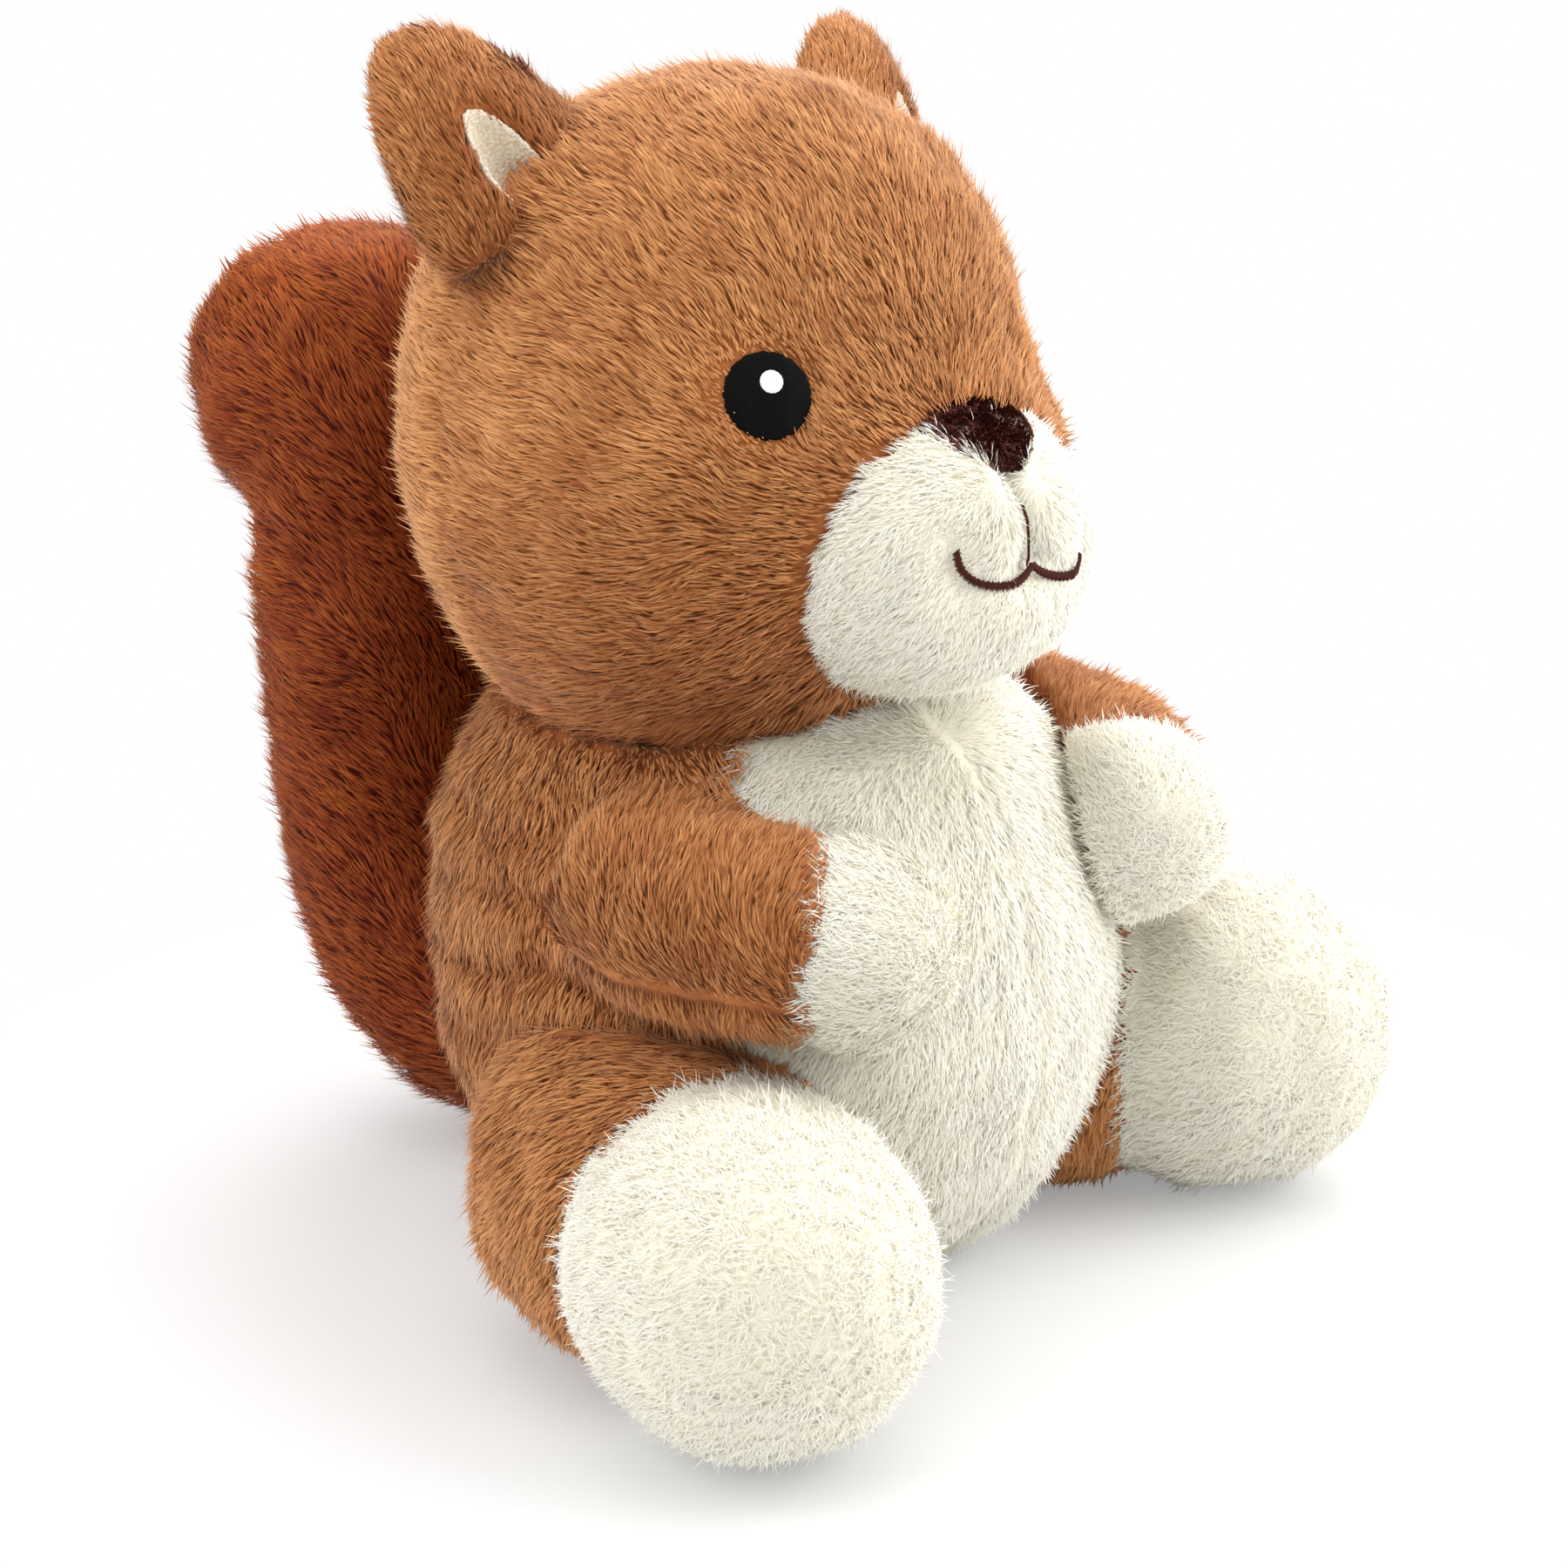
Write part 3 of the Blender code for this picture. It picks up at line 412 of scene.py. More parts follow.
def fold_shade(places):
    """Painted shade: the fur is darker down in the creases."""
    darkening, full_depth = 0.30, 2.5 * MM
    out = unit(places - BODY_MIDDLE)
    return -darkening * np.clip(-body_creases(places, out) / full_depth, 0, 1)


def comb_body(places, out):
    down = (0.0, -0.28, -1.0)
    return np.tile(down, (len(places), 1))


body_cloth, body_free = stuffed_cloth(("torso", "belly_panel"), grain=3.0 * MM, rounding=4, sink=1.4 * MM,
                                      shape=body_creases, seed=11)
body = fur_cloth("body_fur_cloth", body_cloth, body_free, comb_body, count=54000, long=5.6 * MM,
                 tone=fold_shade, kept=off_belly, seed=20)
sew_on(body, ginger, "brown_plush", "torso", fill=0.8)


# The belly: a panel of cream fur cloth, let into the front of the body and closed by a seam down
# its middle. The fur hangs down, and outwards over the panel's edge.
cream = fur_colour("cream_fur",
                   ((0.0, (0.92, 0.87, 0.70)), (0.45, (0.93, 0.895, 0.755)), (1.0, (0.94, 0.915, 0.82))),
                   ((0.0, (0.95, 0.92, 0.79)), (0.45, (0.96, 0.94, 0.845)), (1.0, (0.97, 0.955, 0.885))),
                   (1.0, 0.98, 0.92), sheen=0.08)
CREAM_PILE = {"lay": (17, 7), "wide": 0.24 * MM, "tuft": 2.0 * MM, "pull": 0.15, "even": 0.985,
              "stray": 0.06, "lively": 0.7, "unruly": 0.05, "mottle": 0.18}


def ruffled_all(places):
    """Single blades lie about 20 degrees off their way, all over."""
    return np.full(len(places), 0.35)


def comb_belly(places, out):
    """Down, outwards near the panel's sides, and up at its top, under the chin."""
    outwards, outwards_at_edge, upwards = 0.2, 1.6, 1.3
    turns_at, turned_over = 100 * MM, 14 * MM
    ways = np.tile([0.0, 0.0, -1.0], (len(places), 1))
    half = np.interp(places[:, 2], BELLY_EDGE[:, 0], BELLY_EDGE[:, 1])
    share = places[:, 0] / half
    ways[:, 0] = outwards_at_edge * np.sign(share) * np.abs(share) ** 3 + outwards * np.sign(share)
    ways[:, 2] += upwards * np.clip((places[:, 2] - turns_at) / turned_over, 0, 1)
    return ways


belly = fur_cloth("belly_fur_cloth", body_cloth, body_free, comb_belly, count=34000, long=4.8 * MM,
                  ruffled=ruffled_all, tone=fold_shade, kept=on_belly, seed=40, **CREAM_PILE)
sew_on(belly, cream, "cream_plush", "belly_panel", fill=0.7)


# The legs: two stuffed tubes of brown fur cloth, stretched forward and apart and flattened where
# they lie on the floor. Each leg is stuffed as one form with its foot, whose cloth is sewn to its end.
def comb_leg(places, out):
    """Down, back to the hip and a little outwards."""
    outwards, backwards, downwards = 0.15, 0.45, 1.0
    return np.stack([np.sign(places[:, 0]) * outwards, np.full(len(places), backwards),
                     np.full(len(places), -downwards)], 1)


limbs = {}
for side, seed in (("right", 51), ("left", 52)):
    nodes = (f"leg_{side}", f"foot_{side}")
    cloth, free = stuffed_cloth(nodes, grain=2.6 * MM, rounding=5, sink=1.6 * MM, seed=seed)
    limbs[side] = (cloth, free)
    leg = fur_cloth(f"leg_{side}_fur_cloth", cloth, free, comb_leg, count=19500, long=5.6 * MM,
                    stature=short_by(f"foot_{side}"),
                    kept=part_of(f"foot_{side}", f"leg_{side}", f"leg_{side}"), seed=seed + 10)
    sew_on(leg, ginger, "brown_plush", f"leg_{side}", fill=0.8)


# The feet: big round bags of cream fur cloth, sewn to the legs, with the soles facing forward.
# On the sole the fur fans out from the middle, and at its edge it stands over the leg's brown.
def fan_from(middle):
    """Fur that fans out from a middle, and hangs a little."""
    hang = np.array([0, 0, -0.1])
    return lambda places, out: unit(places - middle) + hang


def ruffled_near(middle, reach):
    """Near the middle of a fan the fur lies any way."""
    everywhere, in_the_middle = 0.4, 1.6
    return lambda places: everywhere + in_the_middle * np.exp(
        -(np.linalg.norm(places - middle, axis=1) / reach) ** 2)


for hand, side, seed in ((-1, "right", 71), (1, "left", 72)):
    cloth, free = limbs[side]
    low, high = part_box(f"foot_{side}")
    sole = np.array([(low.x + high.x) / 2 + hand * 4 * MM, low.y + 2 * MM, 44 * MM])
    foot = fur_cloth(f"foot_{side}_fur_cloth", cloth, free, fan_from(sole), count=25000, long=4.8 * MM,
                     ruffled=ruffled_near(sole, reach=30 * MM),
                     kept=part_of(f"foot_{side}", f"leg_{side}", f"foot_{side}"), seed=seed + 10,
                     **CREAM_PILE)
    sew_on(foot, cream, "cream_plush", f"foot_{side}", fill=0.85)


# The tail: a long brush of dark russet fur cloth, stuffed softer than the body. It stands up behind
# the back, and its tip is rolled over backwards, with a crease under the roll.
russet = fur_colour("russet_fur",
                    ((0.0, (0.095, 0.006, 0.0006)), (0.45, (0.17, 0.016, 0.0015)),
                     (1.0, (0.27, 0.036, 0.0035))),
                    ((0.0, (0.16, 0.014, 0.0015)), (0.45, (0.34, 0.058, 0.0060)),
                     (1.0, (0.60, 0.175, 0.0260))),
                    (1.0, 0.50, 0.25), sheen=0.16)


def comb_tail(places, out):
    back_and_up = (0.0, 0.80, 0.55)
    return np.tile(back_and_up, (len(places), 1))


def tail_tone_and_painted_top_light(places):
    """Painted light: the roll at the tip, on top, is paler than the rest of the tail, which is a little
    darker all over.
    """
    darker_below, painted_light_above, roll_from, roll_over = 0.11, 0.28, 150 * MM, 40 * MM
    return painted_light_above * np.clip((places[:, 2] - roll_from) / roll_over, 0, 1) - darker_below


tail_cloth, tail_free = stuffed_cloth(("tail",), grain=3.2 * MM, rounding=9, sink=1.5 * MM,
                                      lumps=0.9 * MM, seed=91)
tail = fur_cloth("tail_fur_cloth", tail_cloth, tail_free, comb_tail, count=68000, long=6.4 * MM,
                 lay=(29, 9), tuft=3.2 * MM, wide=0.42 * MM, pull=0.26, tone=tail_tone_and_painted_top_light, seed=95)
sew_on(tail, russet, "russet_plush", "tail", fill=0.6)


# The arms: short stuffed tubes of brown fur cloth, bent round the belly. The fur parts along the
# lower edge: above it the fur is brushed over the arm, below it hangs down.
def comb_arm(places, out):
    """Over the arm above the parting, and down below it."""
    backwards, parting, sharpness = 0.2, 0.42, 12
    ways = np.stack([out[:, 2], np.full(len(places), backwards), -out[:, 0]], 1)
    return ways * np.tanh((out[:, 2:] + parting) * sharpness)


def arm_painted_shade(places):
    """Painted shade: the arms' fur is a little darker all over."""
    return np.full(len(places), -0.22)


for side, seed in (("right", 101), ("left", 102)):
    nodes = (f"arm_{side}", f"paw_{side}")
    cloth, free = stuffed_cloth(nodes, grain=2.0 * MM, rounding=4, sink=1.3 * MM, seed=seed)
    limbs[side] = (cloth, free)
    arm = fur_cloth(f"arm_{side}_fur_cloth", cloth, free, comb_arm, count=12000, long=5.4 * MM,
                    stature=short_by(f"paw_{side}"), tone=arm_painted_shade,
                    kept=part_of(f"paw_{side}", f"arm_{side}", f"arm_{side}"), seed=seed + 10)
    sew_on(arm, ginger, "brown_plush", f"arm_{side}", fill=0.8)


# The paws: small mitts of cream fur cloth sewn to the ends of the arms. Their fur fans back from
# the tip and covers the seam.
for hand, side, seed in ((-1, "right", 121), (1, "left", 122)):
    cloth, free = limbs[side]
    low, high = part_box(f"paw_{side}")
    tip = np.array([hand * 26 * MM, low.y - 2 * MM, low.z + 14 * MM])
    paw = fur_cloth(f"paw_{side}_fur_cloth", cloth, free, fan_from(tip), count=9500, long=4.6 * MM,
                    ruffled=ruffled_near(tip, reach=20 * MM),
                    kept=part_of(f"paw_{side}", f"arm_{side}", f"paw_{side}"), seed=seed + 10,
                    **CREAM_PILE)
    sew_on(paw, cream, "cream_plush", f"paw_{side}", fill=0.8)


# The head: a firm ball of brown fur cloth in two panels, a face and a nape, joined by a seam that
# runs over the cheeks behind the ears. The fur lies away from the nose, and backwards on the nape.
SEAM_Y = 7 * MM
EYES = {}
for node in ("eye_right", "eye_left"):
    low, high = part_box(node)
    EYES[node] = np.array((low + high) / 2)
NOSE_TIP = np.array([0.0, -72 * MM, 160 * MM])
# How far the stitches draw the right and the left eye into the head.
EYE_DRAWN_IN = (1.3 * MM, 3.8 * MM)
# The middle, depth and radius of each dent, in millimetres: one in each cheek, two between the far
# eye and the nose, and two swellings, with a depth below 0, where the ears are sewn on.
HEAD_DENTS = (((-61, 1, 139), 2.5, 6), ((61, 1, 131), 2.5, 6), ((22, -57, 185), 2.5, 4),
              ((22, -58, 179), 3.0, 4), ((-49, -1, 215), -4.0, 9), ((46, -1, 206), -4.0, 9))
TILT = math.radians(5.6)
FACE_MIDDLE = 166 * MM
FACE_SKIN = surface("head", "muzzle")


def on_face(across, up):
    """Where a ray from the front, at a place on the tilted face, meets the head or the muzzle."""
    well_in_front = -0.2
    x = across * math.cos(TILT) + up * math.sin(TILT)
    z = FACE_MIDDLE - across * math.sin(TILT) + up * math.cos(TILT)
    return FACE_SKIN.ray_cast(Vector((x, well_in_front, z)), Vector((0, 1, 0)))[:2]


def head_shape(places, normals):
    """The side seam, the eye sockets drawn in by the stitching, and the dents."""
    seam_deep, seam_wide, seam_top = 0.7 * MM, 2.4 * MM, 215 * MM
    disc_stands, socket = 0.8 * MM, 11 * MM
    side = np.exp(-((places[:, 1] - SEAM_Y) / seam_wide) ** 2)
    offset = -seam_deep * side * (places[:, 2] < seam_top)
    for eye, drawn in zip(EYES.values(), EYE_DRAWN_IN):
        offset -= (drawn - disc_stands) * bump_at(places, eye, socket)
    for middle, depth, radius in HEAD_DENTS:
        offset -= depth * MM * bump_at(places, np.array(middle) * MM, radius * MM)
    return offset


def comb_face(places, out):
    up_and_back = np.array([0, 0.1, 0.25])
    return unit(places - NOSE_TIP) + up_and_back


def comb_nape(places, out):
    back_and_up = (0.0, 1.0, 0.35)
    return np.tile(back_and_up, (len(places), 1))


def short_at_eyes(places):
    """Fur is short where it meets the stitched eyes."""
    shortest, growing, from_eye, over = 0.28, 0.72, 8.5 * MM, 6 * MM
    short = np.ones(len(places))
    for eye in EYES.values():
        away = np.linalg.norm(places - eye, axis=1)
        short = np.minimum(short, np.clip((away - from_eye) / over, 0, 1) * growing + shortest)
    return short


def seam_dark(places):
    """The fur is a little darker along the seam."""
    darkening, wide, top = 0.15, 1.6 * MM, 205 * MM
    return -darkening * np.exp(-((places[:, 1] - SEAM_Y) / wide) ** 2) * (places[:, 2] < top)


def face_seam_and_painted_shade(places):
    """Painted shade: the face's fur is darker low on the cheeks, and along the seam."""
    darkening, below, over = 0.30, 172 * MM, 36 * MM
    return seam_dark(places) - darkening * np.clip((below - places[:, 2]) / over, 0, 1)


def nape_seam_and_painted_light(places):
    """Painted light: the nape's fur is a little paler, where light from behind falls on it."""
    return seam_dark(places) + 0.18


def before_seam(places):
    return places[:, 1] < SEAM_Y


def behind_seam(places):
    return places[:, 1] >= SEAM_Y


head_cloth, head_free = stuffed_cloth(("head",), grain=3.0 * MM, rounding=5, sink=1.4 * MM,
                                      shape=head_shape, seed=131)
face = fur_cloth("face_fur_cloth", head_cloth, head_free, comb_face, count=62000, long=5.6 * MM,
                 stature=short_at_eyes, tone=face_seam_and_painted_shade, kept=before_seam, seed=140)
sew_on(face, ginger, "brown_plush", "head", fill=0.85)
nape = fur_cloth("nape_fur_cloth", head_cloth, head_free, comb_nape, count=35000, long=5.6 * MM,
                 tone=nape_seam_and_painted_light, kept=behind_seam, seed=150)
sew_on(nape, ginger, "brown_plush", "head", fill=0.85)


# The muzzle: a dome of cream fur cloth over its own stuffing, drawn in by the mouth's stitches. Its
# fur fans out from under the nose and spills over the brown at the edge.
UNDER_NOSE = np.array([0, -84, 168]) * MM
# Where the smile's two curves meet, in millimetres across and up the face.
MOUTH_MIDDLE = (-2.6, -17.8)


def bend(points, share):
    """A place on a Bezier curve."""
    while len(points) > 1:
        points = [(a[0] + (b[0] - a[0]) * share, a[1] + (b[1] - a[1]) * share)
                  for a, b in zip(points, points[1:])]
    return points[0]


def smile(way):
    """The curve of one side of the mouth, in millimetres on the face: way is -1 on the toy's right."""
    x, y = MOUTH_MIDDLE
    end = (x - 17.6, y + 3.7) if way < 0 else (x + 15.6, y - 0.4)
    low = y - 5.7 if way < 0 else y - 4.8
    return [(x, y), (x + way * 3.5, y - 3.4), (end[0] - way * 1.8, low), end]


MOUTH = []
for way in (-1, 1):
    for k in range(13):
        across, up = bend(smile(way), k / 12)
        MOUTH.append(on_face(across * MM, up * MM)[0])
CLEFT = [on_face(0.2 * MM, -down * MM)[0] for down in range(0, 17, 2)]
CLEFT.append(on_face(*(part * MM for part in MOUTH_MIDDLE))[0])


def off_line(places, line):
    """How far each place is from the nearest point of a line of points."""
    return np.min([np.linalg.norm(places - np.array(point), axis=1) for point in line], 0)


def comb_muzzle(places, out):
    hang = np.array([0, 0, -0.2])
    return unit(places - UNDER_NOSE) + hang


def short_at_mouth(places):
    """The fur is clipped short near the mouth, so that its line shows."""
    shortest, growing, from_line, over = 0.30, 0.55, 1.5 * MM, 7 * MM
    return shortest + growing * np.clip((off_line(places, MOUTH) - from_line) / over, 0, 1)


def muzzle_cleft(places, normals):
    """The groove that the mouth's stitches pull between the two cheeks, and the swell beside it."""
    groove_deep, groove_wide = 2.6 * MM, 2.3 * MM
    swell, swell_at, swell_wide = 0.9 * MM, 9 * MM, 6 * MM
    near = off_line(places, CLEFT)
    groove = -groove_deep * np.exp(-(near / groove_wide) ** 2)
    return groove + swell * np.exp(-((near - swell_at) / swell_wide) ** 2)


muzzle_cloth, muzzle_free = stuffed_cloth(("muzzle",), grain=1.7 * MM, rounding=4, sink=1.2 * MM,
                                          shape=muzzle_cleft, lumps=0.3 * MM, seed=161)
muzzle = fur_cloth("muzzle_fur_cloth", muzzle_cloth, muzzle_free, comb_muzzle, count=18500, long=5.0 * MM,
                   ruffled=ruffled_all, stature=short_at_mouth, seed=170, **CREAM_PILE)
sew_on(muzzle, cream, "cream_plush", "muzzle", fill=0.8)


# The nose: a patch of dark brown velour with a short, dense pile. It is sewn on top of the muzzle,
# with its edge turned under.
velour = fur_colour("nose_velour",
                    ((0.0, (0.100, 0.023, 0.016)), (0.5, (0.135, 0.033, 0.024)),
                     (1.0, (0.170, 0.046, 0.034))),
                    ((0.0, (0.135, 0.033, 0.024)), (0.5, (0.200, 0.053, 0.038)),
                     (1.0, (0.260, 0.080, 0.058))),
                    (0.9, 0.5, 0.4), sheen=0.10)


# The nose's outline, in millimetres across and up the face.
NOSE_OUTLINE = ((-14.6, 4.4), (-9.5, 8.5), (0.0, 9.3), (9.5, 8.5), (13.6, 4.8), (8.0, 0.4), (2.0, -2.2),
                (-7.0, -0.6))


def comb_nose(places, out):
    sideways_and_up = (-1.0, -0.1, 0.3)
    return np.tile(sideways_and_up, (len(places), 1))


def nose_patch(turns=72, rings=16):
    """A patch laid on the face inside its outline, a little raised and turned down at the edge."""
    middle_up, raised, turned_down = 4.2, 0.5, 1.6
    innermost, outwards = 0.03, 0.97
    rim = []
    count = len(NOSE_OUTLINE)
    for k in range(turns):
        at = k / turns * count
        i, share = int(at), at % 1
        a, b, c, d = (NOSE_OUTLINE[(i + n) % count] for n in (-1, 0, 1, 2))
        rim.append([(2 * b[n] + (c[n] - a[n]) * share + (2 * a[n] - 5 * b[n] + 4 * c[n] - d[n]) * share ** 2
                     + (3 * b[n] - a[n] - 3 * c[n] + d[n]) * share ** 3) / 2 for n in (0, 1)])
    places = []
    for ring in range(rings + 1):
        share = innermost + outwards * ring / rings
        for across, up in rim:
            ground, out = on_face(across * share * MM, (middle_up + (up - middle_up) * share) * MM)
            places.append(ground + out * ((raised - turned_down * share ** 8) * MM))
    faces = [[ring * turns + k, ring * turns + (k + 1) % turns, (ring + 1) * turns + (k + 1) % turns,
              (ring + 1) * turns + k] for ring in range(rings) for k in range(turns)]
    return np.array(places), np.array(faces)


nose_cloth = nose_patch()
nose = fur_cloth("nose_velour_patch", nose_cloth, np.ones(len(nose_cloth[0])), comb_nose, count=6000,
                 long=1.3 * MM, lay=(55, 35), wide=0.30 * MM, tuft=1.6 * MM, seed=190)
sew_on(nose, velour, "nose_velour", "nose")


# The ears: rounded cones of brown fur cloth, lightly stuffed, each with a pocket in front that is
# lined with cream cloth. The fur lies towards the tip.
def comb_ear(root, tip):
    """From the ear's root to its tip, and a little back and down."""
    way = (tip - root) / np.linalg.norm(tip - root)
    back_and_down = np.array([0, 0.15, -0.1])
    return lambda places, out: np.tile(way, (len(places), 1)) + back_and_down


def painted_shade_in_pocket(lining):
    """Painted shade: the fur is darker and redder in the fold round the lining."""
    darkening, reach = 0.6, 19 * MM
    middle = np.array(sum(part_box(lining), Vector()) / 2)
    return lambda places: -darkening * np.exp(-(np.linalg.norm(places - middle, axis=1) / reach) ** 2)


for hand, node, seed in ((-1, "ear_right", 201), (1, "ear_left", 202)):
    low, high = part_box(node)
    root = np.array([(low.x + high.x) / 2 - hand * 9 * MM, low.y + 8 * MM, low.z])
    tip = np.array([(low.x + high.x) / 2 + hand * 8 * MM, high.y - 6 * MM, high.z])
    cloth, free = stuffed_cloth((node,), grain=1.6 * MM, rounding=4, sink=1.0 * MM, lumps=0.3 * MM,
                                seed=seed)
    ear = fur_cloth(f"{node}_fur_cloth", cloth, free, comb_ear(root, tip), count=9500, long=4.6 * MM,
                    tone=painted_shade_in_pocket(node.replace("ear", "ear_lining")), seed=seed + 10)
    sew_on(ear, ginger, "brown_plush", node, fill=0.5)


# The ear linings: small pieces of coarse cream cloth, woven from thick threads with a slight shine,
# and sewn into the ears' pockets.
def woven_lining():
    threads_a_metre = 1500
    material = bpy.data.materials.new("woven_lining")
    material.use_nodes = True
    nodes, links = material.node_tree.nodes, material.node_tree.links
    shader = nodes["Principled BSDF"]
    where = nodes.new("ShaderNodeTexCoord")
    knots = nodes.new("ShaderNodeTexVoronoi")
    knots.inputs["Scale"].default_value = threads_a_metre
    links.new(where.outputs["Object"], knots.inputs["Vector"])
    colours = nodes.new("ShaderNodeValToRGB")
    colours.color_ramp.elements[0].position = 0.1
    colours.color_ramp.elements[0].color = (1.0, 0.94, 0.80, 1)
    colours.color_ramp.elements[1].position = 0.75
    colours.color_ramp.elements[1].color = (0.78, 0.65, 0.47, 1)
    links.new(knots.outputs["Distance"], colours.inputs["Fac"])
    links.new(colours.outputs["Color"], shader.inputs["Base Color"])
    relief = nodes.new("ShaderNodeBump")
    relief.inputs["Strength"].default_value = 0.8
    relief.inputs["Distance"].default_value = 0.0004
    relief.invert = True
    links.new(knots.outputs["Distance"], relief.inputs["Height"])
    links.new(relief.outputs["Normal"], shader.inputs["Normal"])
    shader.inputs["Roughness"].default_value = 0.45
    shader.inputs["Specular IOR Level"].default_value = 0.6
    return material


lining_cloth = woven_lining()
for node in ("ear_lining_right", "ear_lining_left"):
    places, faces = stuffed_form((node,), grain=0.6 * MM, rounding=3)
    mesh = bpy.data.meshes.new(f"{node}_cloth")
    mesh.from_pydata(places.tolist(), [], faces.tolist())
    mesh.shade_smooth()
    lining = bpy.data.objects.new(f"{node}_cloth", mesh)
    bpy.context.scene.collection.objects.link(lining)
    sew_on(lining, lining_cloth, "lining_cloth", node)


# The eyes: discs stitched in black thread, slightly raised, each with a small disc of white thread.
# The stitches lie side by side across the disc.
def thread_material(name, colour, roughness, shine):
    material = bpy.data.materials.new(name)
    material.use_nodes = True
    shader = material.node_tree.nodes["Principled BSDF"]
    shader.inputs["Base Color"].default_value = (*colour, 1)
    shader.inputs["Roughness"].default_value = roughness
    shader.inputs["Specular IOR Level"].default_value = shine
    return material


def stitched_disc(name, node, slope, depth, pitch, crown, grow):
    """A round patch of satin stitches drawn into the head: ridges of thread over a low crown.

    slope is the angle of the stitches, depth how far the patch is drawn in, pitch the step from one
    stitch to the next, crown its rise in the middle, and grow what is added to the solid's radius.
    """
    rings, turns = 24, 80
    thread_stands, turned_under, well_outside = 0.10 * MM, 1.5 * MM, 0.02
    low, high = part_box(node)
    middle = (low + high) / 2
    skin = surface("head")
    solid = np.array([vertex.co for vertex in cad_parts[node].data.vertices])
    out = sum((skin.find_nearest(Vector(point))[1] for point in solid[::7]), Vector()).normalized()
    across = Vector((0, 0, 1)).cross(out).normalized()
    upward = out.cross(across)
    spread = (solid - np.array(middle)) @ np.stack([np.array(across), np.array(upward)], 1)
    radius = float(np.linalg.norm(spread, axis=1).max()) + grow
    patch = bmesh.new()
    loops = []
    for k in range(rings + 1):
        share = k / rings
        loop = []
        for j in range(turns if k else 1):
            angle = 2 * math.pi * j / turns
            coarse, fine = 0.012 * math.sin(17 * angle), 0.01 * math.sin(29 * angle + 1)
            ragged = 1 + coarse * share + fine * share
            u, v = math.cos(angle) * radius * share * ragged, math.sin(angle) * radius * share * ragged
            start = middle + across * u + upward * v + out * well_outside
            hit = skin.ray_cast(start, -out)
            along = u * math.cos(slope) + v * math.sin(slope)
            ridge = abs(math.sin(math.pi * along / pitch))
            rise = crown * math.sqrt(max(0.0, 1 - share ** 4)) + thread_stands * ridge - depth
            if k == rings:
                rise = -depth - turned_under
            loop.append(patch.verts.new(hit[0] + out * rise))
        loops.append(loop)
    for j in range(turns):
        patch.faces.new((loops[0][0], loops[1][j], loops[1][(j + 1) % turns]))
    for near, far in zip(loops[1:], loops[2:]):
        for j in range(turns):
            i = (j + 1) % turns
            patch.faces.new((near[j], far[j], far[i], near[i]))
    mesh = bpy.data.meshes.new(name)
    patch.to_mesh(mesh)
    patch.free()
    mesh.shade_smooth()
    disc = bpy.data.objects.new(name, mesh)
    bpy.context.scene.collection.objects.link(disc)
    return disc


black_thread = thread_material("black_thread", (0.0016, 0.0015, 0.0015), roughness=0.6, shine=0.08)
white_thread = thread_material("white_thread", (0.86, 0.86, 0.85), roughness=0.55, shine=0.4)
for side, drawn in zip(("right", "left"), EYE_DRAWN_IN):
    eye = stitched_disc(f"eye_{side}_stitches", f"eye_{side}", slope=0.5, depth=drawn, pitch=0.42 * MM,
                        crown=0.5 * MM, grow=0.2 * MM)
    sew_on(eye, black_thread, "eye_thread", f"eye_{side}")
    glint = stitched_disc(f"eye_glint_{side}_stitches", f"eye_glint_{side}", slope=0.9,
                          depth=drawn - 0.45 * MM, pitch=0.4 * MM, crown=0.4 * MM, grow=-0.35 * MM)
    sew_on(glint, white_thread, "glint_thread", f"eye_glint_{side}")


# The mouth: lines of dark brown satin stitch, short threads laid side by side and aslant across the
# line. Two smiling curves meet under the cleft, and a thinner line climbs the cleft to the nose.
def satin_line(patch, curve, long, thick, slant, rise):
    """Threads along a curve on the face, each a slim rounded grain laid aslant to the line.

    The curve, the threads' length and thickness, and their rise off the cloth are in millimetres.
    """
    steps, joints, sides, closeness = 60, 5, 6, 0.86
    uneven, thin_end, swell, arched = 0.16, 0.35, 0.65, 0.3
    path = [bend(curve, k / steps) for k in range(steps + 1)]
    walked = [0.0]
    for a, b in zip(path, path[1:]):
        walked.append(walked[-1] + math.dist(a, b))
    count = round(walked[-1] / (thick * closeness))
    for k in range(count + 1):
        at = walked[-1] * k / count
        i = min(max(j for j in range(steps + 1) if walked[j] <= at + 1e-9), steps - 1)
        share = (at - walked[i]) / (walked[i + 1] - walked[i])
        spot = [path[i][n] + (path[i + 1][n] - path[i][n]) * share for n in (0, 1)]
        heading = math.atan2(path[i + 1][1] - path[i][1], path[i + 1][0] - path[i][0]) + slant
        length = long * (1 + uneven * math.sin(k * 2.4))
        rings = []
        for n in range(joints):
            along = (n / (joints - 1) - 0.5) * length
            ground, out = on_face((spot[0] + math.cos(heading) * along) * MM,
                                  (spot[1] + math.sin(heading) * along) * MM)
            arch = math.sqrt(max(0.0, 1 - (along / length * 1.9) ** 2))
            radius = thick / 2 * (thin_end + swell * arch) * MM
            middle = ground + out * ((rise + arched * arch) * MM)
            side = Vector((-math.sin(heading), 0, math.cos(heading)))
            side = (side - out * side.dot(out)).normalized()
            rings.append([patch.verts.new(middle + (side * math.cos(t) + out * math.sin(t)) * radius)
                          for t in (m * math.pi / 3 for m in range(sides))])
        for a, b in zip(rings, rings[1:]):
            for m in range(sides):
                patch.faces.new((a[m], a[(m + 1) % sides], b[(m + 1) % sides], b[m]))
        patch.faces.new(rings[0][::-1])
        patch.faces.new(rings[-1])


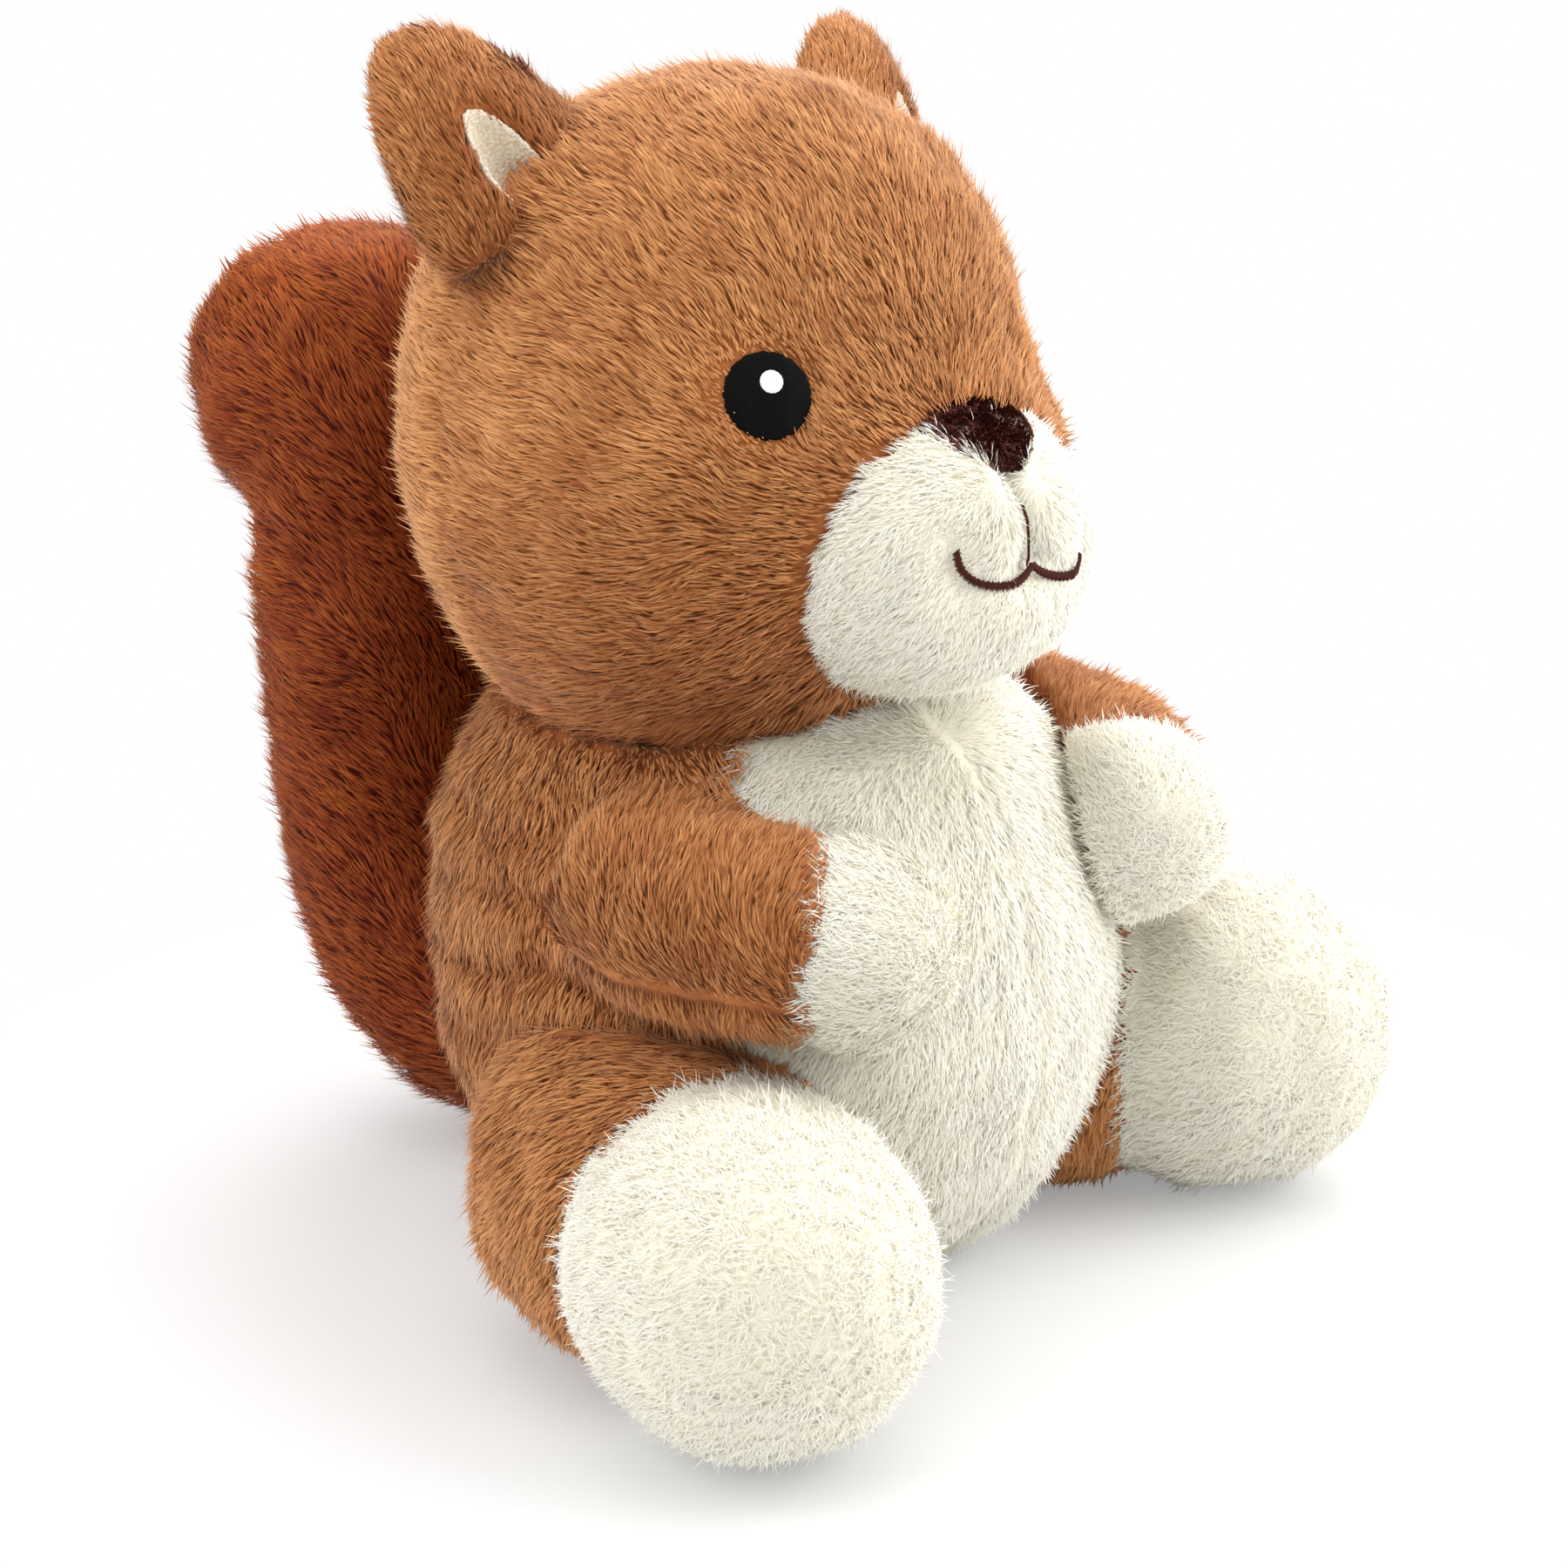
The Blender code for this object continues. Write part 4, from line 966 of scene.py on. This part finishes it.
patch = bmesh.new()
for way in (-1, 1):
    satin_line(patch, smile(way), long=1.75, thick=0.46, slant=way * math.radians(66), rise=0.35)
satin_line(patch, [MOUTH_MIDDLE, (0.0, -14.8), (0.0, -8.0)], long=0.9, thick=0.38,
           slant=math.radians(40), rise=-0.9)
mesh = bpy.data.meshes.new("mouth_stitches")
bmesh.ops.recalc_face_normals(patch, faces=patch.faces)
patch.to_mesh(mesh)
patch.free()
mesh.shade_smooth()
mouth = bpy.data.objects.new("mouth_stitches", mesh)
bpy.context.scene.collection.objects.link(mouth)
mouth_thread = thread_material("mouth_thread", (0.060, 0.012, 0.007), roughness=0.6, shine=0.12)
sew_on(mouth, mouth_thread, "mouth_thread", "mouth_stitching")


# The floor: a plain white sheet that runs past the view and keeps the toy's soft shadow. Seen by the
# camera it turns to pure white away from the toy, as in the photograph.
floor_half = 4
shadow_middle, shaded_within, white_beyond = (0.01, -0.02, 0), 0.11, 0.22
floor_mesh = bpy.data.meshes.new("floor")
corners = [(x * floor_half, y * floor_half, 0) for x, y in ((-1, -1), (1, -1), (1, 1), (-1, 1))]
floor_mesh.from_pydata(corners, [], [(0, 1, 2, 3)])
floor = bpy.data.objects.new("floor", floor_mesh)
bpy.context.scene.collection.objects.link(floor)
paper = bpy.data.materials.new("white_paper")
paper.use_nodes = True
nodes, links = paper.node_tree.nodes, paper.node_tree.links
sheet = nodes["Principled BSDF"]
sheet.inputs["Base Color"].default_value = (0.88, 0.88, 0.88, 1)
sheet.inputs["Roughness"].default_value = 0.9
sheet.inputs["Specular IOR Level"].default_value = 0.1
glow = nodes.new("ShaderNodeEmission")
glow.inputs["Color"].default_value = (1, 1, 1, 1)
where = nodes.new("ShaderNodeNewGeometry")
reach = nodes.new("ShaderNodeVectorMath")
reach.operation = "DISTANCE"
reach.inputs[1].default_value = shadow_middle
links.new(where.outputs["Position"], reach.inputs[0])
fade = nodes.new("ShaderNodeMapRange")
fade.interpolation_type = "SMOOTHSTEP"
fade.inputs["From Min"].default_value = shaded_within
fade.inputs["From Max"].default_value = white_beyond
fade.inputs["To Min"].default_value = 0.3
links.new(reach.outputs["Value"], fade.inputs["Value"])
path = nodes.new("ShaderNodeLightPath")
seen = nodes.new("ShaderNodeMath")
seen.operation = "MULTIPLY"
links.new(fade.outputs["Result"], seen.inputs[0])
links.new(path.outputs["Is Camera Ray"], seen.inputs[1])
blend = nodes.new("ShaderNodeMixShader")
links.new(seen.outputs["Value"], blend.inputs["Fac"])
links.new(sheet.outputs["BSDF"], blend.inputs[1])
links.new(glow.outputs["Emission"], blend.inputs[2])
links.new(blend.outputs["Shader"], nodes["Material Output"].inputs["Surface"])
floor_mesh.materials.append(paper)


# The light: soft boxes in front on the toy's left, overhead and behind on both sides, and an even
# white room. They light the toy's front and top, and leave the side that the camera sees softer.
CHEST = (0, 0, 0.1)


def soft_box(name, place, size, power):
    lamp = bpy.data.lights.new(name, "AREA")
    lamp.shape = "DISK"
    lamp.size = size
    lamp.energy = power
    holder = bpy.data.objects.new(name, lamp)
    bpy.context.scene.collection.objects.link(holder)
    holder.location = place
    holder.rotation_euler = (Vector(CHEST) - Vector(place)).to_track_quat("-Z", "Y").to_euler()


soft_box("front_light", (0.70, -1.02, 0.82), size=1.6, power=19.0)
soft_box("top_light", (0.0, 0.0, 1.5), size=1.6, power=12.0)
soft_box("back_left_light", (-0.95, 0.45, 0.85), size=1.2, power=9.5)
soft_box("back_right_light", (0.9, 0.5, 0.9), size=1.2, power=10.5)
world = bpy.data.worlds.new("room")
bpy.context.scene.world = world
world.use_nodes = True
nodes, links = world.node_tree.nodes, world.node_tree.links
room = nodes["Background"]
room.inputs["Color"].default_value = (1, 1, 1, 1)
room.inputs["Strength"].default_value = 0.34
clear = nodes.new("ShaderNodeBackground")
clear.inputs["Color"].default_value = (1, 1, 1, 1)
path = nodes.new("ShaderNodeLightPath")
blend = nodes.new("ShaderNodeMixShader")
links.new(path.outputs["Is Camera Ray"], blend.inputs["Fac"])
links.new(room.outputs["Background"], blend.inputs[1])
links.new(clear.outputs["Background"], blend.inputs[2])
links.new(blend.outputs["Shader"], nodes["World Output"].inputs["Surface"])
bpy.context.scene.view_settings.view_transform = "Standard"
